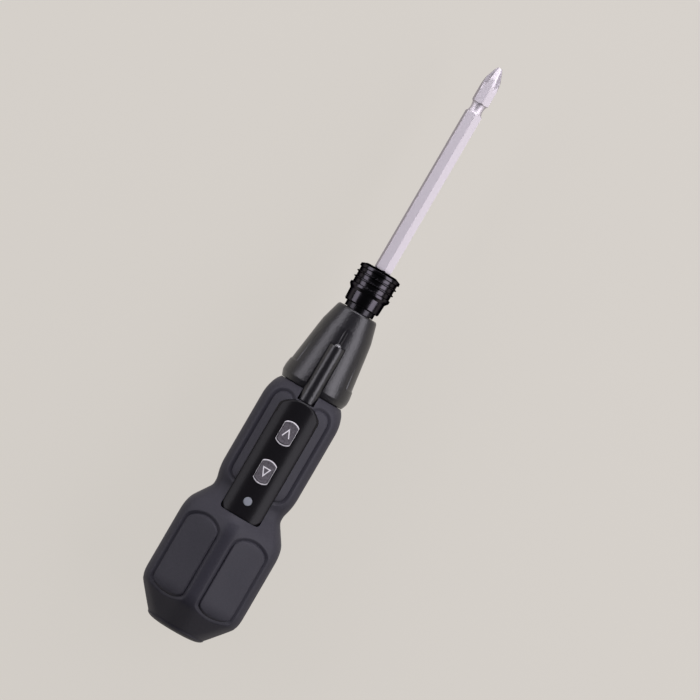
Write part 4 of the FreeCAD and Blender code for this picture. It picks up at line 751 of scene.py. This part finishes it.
# Each pair of screws: its place along the axis, how far each is to the side, and how deep its head sits.
SCREWS = ((32.0, 14.5, 9.0), (68.4, 11.2, 6.0), (94.0, 12.5, 6.0))
BOSS_R, BOSS_TOP, BOSS_BURIED = 2.2, -0.2, 1.0
SCREW_HEAD_R, SCREW_HEAD_TALL, SCREW_EDGE, SCREW_R, SCREW_TOP, SCREW_GAP = 1.6, 1.3, 0.08, 0.9, 6.5, 0.1
# The rounded outside of a screw's head: how far in, and the radius.
SCREW_CROWN = ((0.0, 0.0), (0.0, 0.7), (0.06, 1.1), (0.25, 1.42), (0.6, SCREW_HEAD_R))
THREAD_PITCH, THREAD_ROOT, THREAD_FROM_HEAD, THREAD_FROM_TOP = 0.8, 0.66, 1.0, 1.6
# Where a thread's flank starts and ends, as shares of the pitch.
FLANK_START, FLANK_END = 0.3, 0.6
POINT_LONG, POINT_R, SCREW_COLUMNS = 0.1, 0.15, 40
CROSS_LONG, CROSS_WIDE, CROSS_DEEP, CROSS_BELOW = 1.05, 0.24, 0.75, 1.0
RIB_REAR_X, RIB_FRONT_X, RIB_REAR_HALF, RIB_FRONT_HALF = 101.4, 126.1, 3.5, 3.05
RIB_REAR_TOP, RIB_FRONT_TOP, RIB_BASE, RIB_GAP = 16.4, 15.0, 10.6, 0.1
# From the rib's ends: how far along, and how far its rounded edge lies in.
RIB_REAR_EDGE = ((0.0, 0.35), (0.15, 0.1), (0.4, 0.0))
RIB_FRONT_EDGE = ((0.5, 0.0), (0.15, 0.1), (0.0, 0.4))
RIB_ROWS, RIB_COLUMNS = np.linspace(103.0, 125.0, 24), 41
OPENING_FLOOR, SLOT_AHEAD = 0.5, 1.0


def rib_half(x):
    """Half width of the lamp's rib."""
    return np.interp(x, (RIB_REAR_X, RIB_FRONT_X), (RIB_REAR_HALF, RIB_FRONT_HALF))


def grip_shells():
    """Two moulded halves: the upper one open for the panel and the lamp's rib, the lower one for screws."""
    upper = half_shell("upper_grip", -pi / 2)
    carve(upper, prism("bed", bowed_plan(*PANEL_PLAN, grow=PANEL_GAP), OPENING_FLOOR, OVERRUN))
    rear, front = RIB_REAR_X - RIB_GAP, GRIP[-1][0] + SLOT_AHEAD
    wide, narrow = rib_half(rear) + RIB_GAP, rib_half(front) + RIB_GAP
    slot = [(rear, -wide), (front, -narrow), (front, narrow), (rear, wide)]
    carve(upper, prism("rib_slot", slot, OPENING_FLOOR, OVERRUN))
    dress(upper, SOFT_ABS, "handle", "upper_shell")
    lower = half_shell("lower_grip", pi / 2)
    for x, y, seat in SCREWS:
        for side in (1, -1):
            skin = BOSS_BURIED - sqrt(grip_line(x, 1) ** 2 - y**2)
            carve(lower, prism("boss", disc(x, side * y, BOSS_R), skin, BOSS_TOP), "UNION")
            carve(lower, prism("head_way", disc(x, side * y, SCREW_HEAD_R + SCREW_GAP), -OVERRUN, -seat))
            carve(lower, prism("shank_way", disc(x, side * y, SCREW_R + SCREW_GAP), -OVERRUN, OVERRUN))
    dress(lower, SOFT_ABS, "handle", "lower_shell")


def shell_screw(name, x, y, seat):
    """A pan-head screw with a cross recess and a cut thread, standing on its head."""
    low = -seat - SCREW_HEAD_TALL
    outline = [(low + deep, r) for deep, r in SCREW_CROWN]
    outline += [(-seat - SCREW_EDGE, SCREW_HEAD_R), (-seat, SCREW_HEAD_R - SCREW_EDGE), (-seat, SCREW_R)]
    z = -seat + THREAD_FROM_HEAD
    while z < SCREW_TOP - THREAD_FROM_TOP:
        outline += [(z, THREAD_ROOT), (z + FLANK_START * THREAD_PITCH, THREAD_ROOT)]
        outline += [(z + FLANK_END * THREAD_PITCH, SCREW_R)]
        z += THREAD_PITCH
    outline += [(z, THREAD_ROOT), (SCREW_TOP - POINT_LONG, POINT_R), (SCREW_TOP, 0.0)]
    screw = lathe(name, outline, whole_turn(SCREW_COLUMNS))
    for vertex in screw.data.vertices:
        along, left, out = vertex.co
        vertex.co = (x * MM + out, y * MM - left, along)
    arm, half = CROSS_LONG, CROSS_WIDE
    cross = [(half, half), (half, arm), (-half, arm), (-half, half), (-arm, half), (-arm, -half)]
    cross += [(-px, -py) for px, py in cross]
    plan = [(x + px, y + py) for px, py in cross]
    carve(screw, prism("cross", plan, low - CROSS_BELOW, low + CROSS_DEEP))
    return screw


def key_panel():
    """The bowed panel with its two keys, their rings and signs, and the lamp window."""
    panel = crowned_plate(
        "key_panel", bowed_plan(*PANEL_PLAN), PANEL_SPINE, 0.0, PANEL_THICK, PANEL_EDGE,
        front_edge=PANEL_FRONT_EDGE,
    )
    for _, x, _ in KEYS:
        carve(panel, prism("key_hole", key_plan(x, KEY_GAP + RING_SIDE + RING_GAP, RING_END), 0.0, OVERRUN))
    carve(panel, prism("pipe_hole", disc(PIPE_X, 0.0, PIPE_R + PIPE_GAP), 0.0, OVERRUN))
    dress(panel, PANEL_ACRYLIC, "handle", "button_panel")
    for name, x, way in KEYS:
        long = KEY_HALF_LONG - KEY_BOW - KEY_SPINE_SHORT
        spine = (x - long, x + long)
        body = f"{name}_button"
        key = crowned_plate(f"{name}_key", key_plan(x), spine, KEY_RISE, KEY_THICK, KEY_EDGE, KEY_DISH)
        dress(key, KEY_ABS, body, body)
        sign = key_sign(f"{name}_sign", x, way, closed=name == "reverse")
        dress(sign, KEY_INK, body, body, first=False)
        # The ring's pale finish is a painted highlight, standing in for the bezel's reflections.
        ring = key_ring(f"{name}_ring", x)
        dress(ring, RING_PAINTED_HIGHLIGHT, "handle", "button_bezels", first=name == "forward")
    round_plan, middle = disc(PIPE_X, 0.0, PIPE_R), (PIPE_X, PIPE_X)
    pipe = crowned_plate("indicator_window", round_plan, middle, -PIPE_DROP, PIPE_THICK, PIPE_EDGE)
    dress(pipe, PIPE_PC, "handle", "indicator_pipe")


NOSE_OUTSIDE = ((105.9, 13.2), (108.4, 14.15), (110.6, 14.15), (133.3, 10.6), (140.9, 8.5), (141.5, 7.9))
NOSE_INSIDE = (
    (141.5, 5.4), (140.0, 5.4), (140.0, 7.0), (126.0, 7.0), (126.0, 8.2), (121.6, 8.2), (121.6, 10.55),
    (100.5, 10.55), (100.5, 12.7), (102.9, 12.7), (102.9, 11.5), (105.9, 11.5),
)
NOSE_EDGE, NOSE_STEP, NOSE_COLUMNS = 0.35, 0.5, 280
# Points of the nose less than this below its outside line are its outside.
NOSE_SKIN = 0.6
RECESS_REAR_X, RECESS_FRONT_X, RECESS_DEEP, RECESS_SPREAD = 113.4, 130.0, 0.35, radians(36)
RECESS_RAMP, LIP_TALL, LIP_TURN, STEP_TURN = 0.4, 0.25, 0.026, 0.01
# Angles out from a finger flat's edge at which the mesh has extra columns.
LIP_COLUMNS = (-STEP_TURN, 0.0, 0.005, 0.012, 0.02, 0.03, 0.045)
MOAT_WIDE, MOAT_DEEP, MOAT_ROWS = 0.22, 0.3, 40
LAMP_Z, LAMP_SEAT_R, LAMP_REAR_X, LAMP_AHEAD = 12.5, 1.55, 121.0, 4.0
CHANNEL_Z, CHANNEL_R, CHANNEL_REAR_X, CHANNEL_FRONT_X = 11.55, 1.05, LAMP_REAR_X - 1.0, 135.0


def side_recess(x, r, angle):
    """The finger flats on both sides of the nose, deepest at the rear, each with a fine raised lip."""
    outside = r > np.interp(x, *zip(*NOSE_OUTSIDE)) - NOSE_SKIN
    from_side = np.abs(np.abs(np.mod(angle + pi, 2 * pi) - pi) - pi / 2)
    inward = RECESS_SPREAD - from_side
    along = np.clip((x - RECESS_REAR_X) / RECESS_RAMP, 0, 1)
    along = along * np.clip((RECESS_FRONT_X - x) / (RECESS_FRONT_X - RECESS_REAR_X), 0, 1)
    step = np.clip(inward / STEP_TURN, 0, 1)
    lip = LIP_TALL * np.exp(-((np.minimum(inward, 0) / LIP_TURN) ** 2)) * (1 - step)
    return np.where(outside, (RECESS_DEEP * step - lip) * along, 0)


def nose_turns():
    """Columns round the nose, closer together at the edges of the finger flats."""
    turns = list(whole_turn(NOSE_COLUMNS))
    for side in (pi / 2, 3 * pi / 2):
        for way in (1, -1):
            edge = side + way * RECESS_SPREAD
            turns += [edge + way * out for out in LIP_COLUMNS]
    return np.unique(np.round(turns, 5))


def lamp_rib():
    """The raised housing of the work light, tapering forward."""
    stations = [(RIB_REAR_X + along, inset) for along, inset in RIB_REAR_EDGE]
    stations += [(x, 0.0) for x in RIB_ROWS]
    stations += [(RIB_FRONT_X - along, inset) for along, inset in RIB_FRONT_EDGE]
    rings = []
    for x, inset in stations:
        half = rib_half(x) - inset
        top = np.interp(x, (RIB_REAR_X, RIB_FRONT_X), (RIB_REAR_TOP, RIB_FRONT_TOP)) - inset
        turns = np.linspace(0, pi, RIB_COLUMNS)
        arch = [(x, half * cos(t), top - half + half * sin(t)) for t in turns]
        rings.append([(x, half, RIB_BASE), *arch, (x, -half, RIB_BASE)])
    return capped("lamp_rib", rings)


def rib_moat():
    """A fine groove along the foot of the lamp's rib, where it rises from the cone."""
    rings = []
    for x in np.linspace(NOSE_OUTSIDE[1][0], RIB_FRONT_X + MOAT_WIDE, MOAT_ROWS):
        half = rib_half(x) + MOAT_WIDE
        foot = sqrt(np.interp(x, *zip(*NOSE_OUTSIDE)) ** 2 - half**2) - MOAT_DEEP
        rings.append([(x, half, foot), (x, half, OVERRUN), (x, -half, OVERRUN), (x, -half, foot)])
    return capped("rib_moat", rings)


def nose():
    """The cone with its lamp housing, the lamp's seat and the channel that its light runs along."""
    outline = divided(eased(NOSE_OUTSIDE + NOSE_INSIDE, NOSE_EDGE), NOSE_STEP)
    cone = lathe("nose", outline, nose_turns(), side_recess)
    carve(cone, rib_moat())
    carve(cone, lamp_rib(), "UNION")
    carve(cone, bar_x("lamp_seat", disc(0.0, LAMP_Z, LAMP_SEAT_R), LAMP_REAR_X, RIB_FRONT_X + LAMP_AHEAD))
    carve(cone, bar_x("lamp_channel", disc(0.0, CHANNEL_Z, CHANNEL_R), CHANNEL_REAR_X, CHANNEL_FRONT_X))
    dress(cone, NOSE_NYLON, "handle", "nose_cone")


CAP_LONG, CAP_R, CAP_COLUMNS = 2.4, 12.4, 160
DOME_R, DOME_POWER, DOME_ROWS = 12.2, 4, 24
CAP_INSIDE = (
    (2.3, 12.3), (2.4, 12.2), (2.4, 10.0), (4.5, 10.0), (4.5, 11.0), (6.0, 11.0), (6.0, 8.6), (2.4, 8.6),
    (2.4, 0.0),
)
PORT_HALF_WIDE, PORT_HALF_TALL, PORT_REAR_X, PORT_FRONT_X = 4.6, 1.75, -5.0, 10.0
SOCKET_REAR_X, SOCKET_FRONT_X, SOCKET_HALF_WIDE, SOCKET_HALF_TALL = 0.4, 7.7, 4.47, 1.63
SOCKET_WALL, SOCKET_LIP = 0.3, 0.1
TONGUE_REAR_X, TONGUE_HALF, TONGUE_THICK = 1.4, 3.35, 0.7
TONGUE_CORNER, TONGUE_INSET, TONGUE_EDGE = 0.4, 0.12, 0.15
CONTACT_COUNT, CONTACT_PITCH, CONTACT_WIDE, CONTACT_THICK = 8, 0.75, 0.4, 0.03
CONTACT_SET_IN, CONTACT_SUNK = 0.5, 0.1


def butt():
    """The domed end cap with its charging slot."""
    radii = np.linspace(0.0, DOME_R, DOME_ROWS)
    dome = [(CAP_LONG - CAP_LONG * sqrt(1 - (r / CAP_R) ** DOME_POWER), r) for r in radii]
    cap = lathe("end_cap", dome + list(CAP_INSIDE), whole_turn(CAP_COLUMNS))
    carve(cap, bar_x("port", stadium(PORT_HALF_WIDE, PORT_HALF_TALL), PORT_REAR_X, PORT_FRONT_X))
    dress(cap, SOFT_ABS, "handle", "rear_cap")


def charge_socket():
    """The charging socket: a drawn shell, a moulded tongue and its gilt contacts."""
    outline = stadium(SOCKET_HALF_WIDE, SOCKET_HALF_TALL)
    mouth = stadium(SOCKET_HALF_WIDE - SOCKET_WALL, SOCKET_HALF_TALL - SOCKET_WALL)
    soft = stadium(SOCKET_HALF_WIDE - SOCKET_WALL / 2, SOCKET_HALF_TALL - SOCKET_WALL / 2)
    lip_x = SOCKET_REAR_X + SOCKET_LIP
    stations = ((SOCKET_FRONT_X, outline), (lip_x, outline), (SOCKET_REAR_X, soft))
    stations += ((lip_x, mouth), (SOCKET_FRONT_X - 2 * SOCKET_WALL, mouth))
    shell = capped("socket_shell", [[(x, y, z) for y, z in plan] for x, plan in stations])
    dress(shell, SOCKET_STAINLESS, "handle", "usb_socket")
    half, thick, front = TONGUE_HALF, TONGUE_THICK / 2, SOCKET_FRONT_X - SOCKET_WALL
    plan, inset = (
        eased([(rear, -half), (front, -half), (front, half), (rear, half)], TONGUE_CORNER)
        for rear in (TONGUE_REAR_X, TONGUE_REAR_X + TONGUE_INSET)
    )
    layers = ((inset, -thick), (plan, -thick + TONGUE_EDGE), (plan, thick - TONGUE_EDGE), (inset, thick))
    tongue = capped("socket_tongue", [[(x, y, z) for x, y in flat] for flat, z in layers])
    dress(tongue, TONGUE_POLYMER, "handle", "usb_socket", first=False)
    rear = TONGUE_REAR_X + CONTACT_SET_IN
    points, faces = [], []
    for side in (1, -1):
        for k in range(CONTACT_COUNT):
            y = (k - (CONTACT_COUNT - 1) / 2) * CONTACT_PITCH
            strip = [(rear, -1), (front, -1), (front, 1), (rear, 1)]
            base = len(points)
            for level in (thick - CONTACT_SUNK, thick + CONTACT_THICK):
                points += [(x, y + way * CONTACT_WIDE / 2, side * level) for x, way in strip]
            faces += [tuple(range(base, base + 4)), tuple(range(base + 4, base + 8))]
            faces += bridge(base, base + 4, 4)
    contacts = built("socket_contacts", points, faces)
    dress(contacts, CONTACT_GOLD, "handle", "usb_socket", first=False)


SLEEVE_RINGS = ((150.95, 153.15), (153.45, 155.55), (155.85, 157.75))
SLEEVE_R, RING_WALL, RING_DEEP = 8.6, 0.3, 0.65
SLEEVE_TAIL = ((143.7, 6.25), (143.7, 6.95), (144.2, 7.35), (148.6, 7.55), (149.9, SLEEVE_R))
SLEEVE_MOUTH = (
    (158.9, 8.5), (159.85, 6.3), (158.4, 6.3), (158.4, 6.07), (155.4, 5.4), (152.4, 5.4), (152.4, 6.25),
)
SLEEVE_EDGE, SLEEVE_EDGE_STEPS, SLEEVE_COLUMNS = 0.06, 3, 160


def release_sleeve():
    """The ringed sleeve that is pushed back to free the bit."""
    outline = list(SLEEVE_TAIL)
    floor_r = SLEEVE_R - RING_DEEP
    for rear, front in SLEEVE_RINGS:
        outline += [(rear, SLEEVE_R), (rear + RING_WALL, floor_r)]
        outline += [(front - RING_WALL, floor_r), (front, SLEEVE_R)]
    outline += SLEEVE_MOUTH
    outline = eased(outline, SLEEVE_EDGE, SLEEVE_EDGE_STEPS)
    sleeve = lathe("ringed_sleeve", outline, whole_turn(SLEEVE_COLUMNS))
    dress(sleeve, SLEEVE_ALUMINIUM, "sleeve", "release_sleeve")


SPRING_REAR_X, SPRING_FRONT_X, SPRING_R, SPRING_WIRE_R, SPRING_PITCH = 146.33, 152.07, 5.72, 0.3, 1.4
SPRING_STEPS, WIRE_STEPS = 220, 14


def sleeve_spring():
    """The coil under the sleeve, its rear end on the spindle and its front end at the sleeve."""
    turn = np.linspace(0.0, tau * (SPRING_FRONT_X - SPRING_REAR_X) / SPRING_PITCH, SPRING_STEPS)[:, None]
    wire_turn = whole_turn(WIRE_STEPS)[None, :]
    r = SPRING_R + SPRING_WIRE_R * np.cos(wire_turn)
    x = SPRING_REAR_X + SPRING_PITCH * turn / tau + SPRING_WIRE_R * np.sin(wire_turn)
    coil = capped("coil_spring", np.stack([x, r * np.sin(turn), -r * np.cos(turn)], axis=-1))
    finished(coil, SPRING_STEEL)
    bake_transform(coil)
    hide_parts("sleeve_spring")


BIT_REAR_X, BIT_FRONT_X, BIT_FLATS, BIT_CORNER = 140.0, 250.0, 6.35, radians(-12.7)
# From each end of the bit: how far back, and the radius it is turned to.
BIT_TURNED = (
    (0.0, 0.95), (1.2, 1.6), (2.8, 2.2), (5.0, 3.05), (9.0, 3.75), (15.2, 3.75), (15.9, 2.95), (19.7, 2.95),
    (20.4, 3.75),
)
BIT_WAIST, BIT_WAIST_HALF, BIT_WAIST_BOW = 17.8, 1.9, 0.35
# The same for the floor of the four flutes, which leave a cross of wings at the tip.
FLUTE_FLOOR = ((0.0, 0.75), (1.7, 1.25), (5.0, 1.75), (7.5, 2.25), (9.6, 3.1), (11.2, 4.2))
FLUTE_TURN = radians(90)
# Rows of the bit's mesh back from each end, close together at the cross and at the neck.
BIT_ROWS = [*np.arange(0.0, 11.5, 0.16), 13.0, 15.1, *np.arange(15.2, 20.5, 0.15), 21.0, 35.0]
BIT_COLUMNS = 216
# The least opening of a flute, which keeps its division from failing.
LEAST_OPENING = 1e-6


def driver_bit():
    """The double-ended bit: a hexagon bar with a turned neck and a cross tip at each end."""
    rows = [BIT_REAR_X + back for back in BIT_ROWS] + [BIT_FRONT_X - back for back in reversed(BIT_ROWS)]
    x, angle = np.meshgrid(rows, whole_turn(BIT_COLUMNS), indexing="ij")
    angle = angle + BIT_CORNER
    back = np.minimum(x - BIT_REAR_X, BIT_FRONT_X - x)
    off = np.mod(angle - BIT_CORNER, FLAT_TURN) - FLAT_TURN / 2
    waist = BIT_WAIST_BOW * np.clip(1 - ((back - BIT_WAIST) / BIT_WAIST_HALF) ** 2, 0, 1)
    r = np.minimum(BIT_FLATS / 2 / np.cos(off), np.interp(back, *zip(*BIT_TURNED)) - waist)
    lean = np.mod(angle, FLUTE_TURN) - FLUTE_TURN / 2
    open_way = np.maximum(np.cos(lean) - np.abs(np.sin(lean)), LEAST_OPENING)
    flute = np.where(back < FLUTE_FLOOR[-1][0], np.interp(back, *zip(*FLUTE_FLOOR)) / open_way, r)
    r = np.minimum(r, flute)
    rings = around(x, r, angle)
    dress(capped("driver_bit", rings), BIT_STEEL, "bit", "screwdriver_bit")


grip_shells()
key_panel()
nose()
butt()
charge_socket()
release_sleeve()
sleeve_spring()
driver_bit()
for count, (x, y, seat) in enumerate(SCREWS):
    for side in (1, -1):
        screw = shell_screw(f"shell_screw_{2 * count + (side < 0)}", x, side * y, seat)
        dress(screw, SCREW_ZINC, "handle", "housing_screws", first=count == 0 and side == 1)

# The photograph looks straight down on the keys through a long lens, with the tool turned in the frame.
IMAGE_WIDE = 269.2
VIEW_X, VIEW_Y = 127.4, -4.6
VIEW_TURN = radians(-59.766)
LENS, SENSOR = 300.0, 36.0
FARTHEST = 100.0

camera_data = bpy.data.cameras.new("camera")
camera_data.lens = LENS
camera_data.sensor_width = SENSOR
camera_data.clip_end = FARTHEST
camera = placed("camera", camera_data)
camera.location = Vector((VIEW_X, VIEW_Y, IMAGE_WIDE * LENS / SENSOR)) * MM
camera.rotation_euler = (0, 0, VIEW_TURN)
scene.camera = camera

LIT_POINT = (110.0, 0.0, 0.0)
LAMP_TINT = (1.0, 0.965, 1.05)


def softbox(name, place, wide, tall, watts):
    """A rectangular studio lamp that faces the tool."""
    lamp = bpy.data.lights.new(name, "AREA")
    lamp.shape = "RECTANGLE"
    lamp.size, lamp.size_y = wide * MM, tall * MM
    lamp.energy = watts
    lamp.color = LAMP_TINT
    obj = placed(name, lamp)
    obj.location = Vector(place) * MM
    obj.rotation_euler = (Vector(LIT_POINT) - Vector(place)).to_track_quat("-Z", "Y").to_euler()


softbox("left_softbox", (250.0, 610.0, 366.0), wide=1000.0, tall=390.0, watts=3.7)
softbox("right_softbox", (250.0, -578.0, 412.0), wide=1000.0, tall=450.0, watts=5.6)
softbox("tip_softbox", (860.0, 0.0, 300.0), wide=900.0, tall=330.0, watts=4.8)

BACKGROUND, PAPER = "#d9d4cd", "#b5b1ac"
HORIZON, ZENITH = "#4e4d4c", "#3a3a3c"
# Heights in the sky, as shares of straight up, between which its tone changes.
SKY_LOW, SKY_HIGH = 0.05, 0.45
FLOOR_Z = -23.4
FLOOR_HALF = 20000.0
# How much of the floor's look is the even background, and not the lit paper with the shadow.
SEEN_SHARE = 0.86
FIBRE_SIZE, FIBRE_DEPTH = 1.2, 0.05


def paper(name):
    """Matt backdrop paper: one even pale tone with fine fibres, and the object's soft shadow."""
    material, tree, shader, place = blank(name)
    fibre = add(tree, "TexNoise", {"Vector": place, "Scale": per(FIBRE_SIZE), "Detail": 3.0})
    bump = add(tree, "Bump", {"Height": fibre, "Strength": 0.03, "Distance": FIBRE_DEPTH * MM})
    look = {"Base Color": linear(PAPER), "Roughness": 0.9, "Specular IOR Level": 0.0, "Normal": bump}
    wire(tree, shader, look)
    path = add(tree, "LightPath", {}).outputs
    rays = {0: path["Is Camera Ray"], 1: path["Is Glossy Ray"]}
    seen = add(tree, "Math", rays, operation="MAXIMUM")
    also = add(tree, "Math", {0: seen, 1: path["Is Transmission Ray"]}, operation="MAXIMUM")
    share = add(tree, "Math", {0: also, 1: SEEN_SHARE}, operation="MULTIPLY")
    glow = add(tree, "Emission", {"Color": linear(BACKGROUND), "Strength": 1.0})
    mixed = add(tree, "MixShader", {0: share, 1: shader, 2: glow})
    wire(tree, tree.nodes["Material Output"], {"Surface": mixed})
    return material


corners = [(x * FLOOR_HALF, y * FLOOR_HALF, FLOOR_Z) for x, y in ((-1, -1), (1, -1), (1, 1), (-1, 1))]
floor = built("floor", corners, [(0, 1, 2, 3)])
floor.data.materials.append(paper("backdrop_paper"))

scene.view_settings.view_transform = "Standard"
world = bpy.data.worlds.new("studio")
scene.world = world
world.use_nodes = True
sky = world.node_tree
height = add(sky, "SeparateXYZ", {"Vector": add(sky, "TexCoord", {}).outputs["Generated"]}).outputs["Z"]
share = add(sky, "MapRange", {"Value": height, "From Min": SKY_LOW, "From Max": SKY_HIGH})
tone = add(sky, "Mix", {0: share, 6: linear(HORIZON), 7: linear(ZENITH)}, data_type="RGBA")
wire(sky, sky.nodes["Background"], {"Color": tone.outputs[2], "Strength": 1.0})
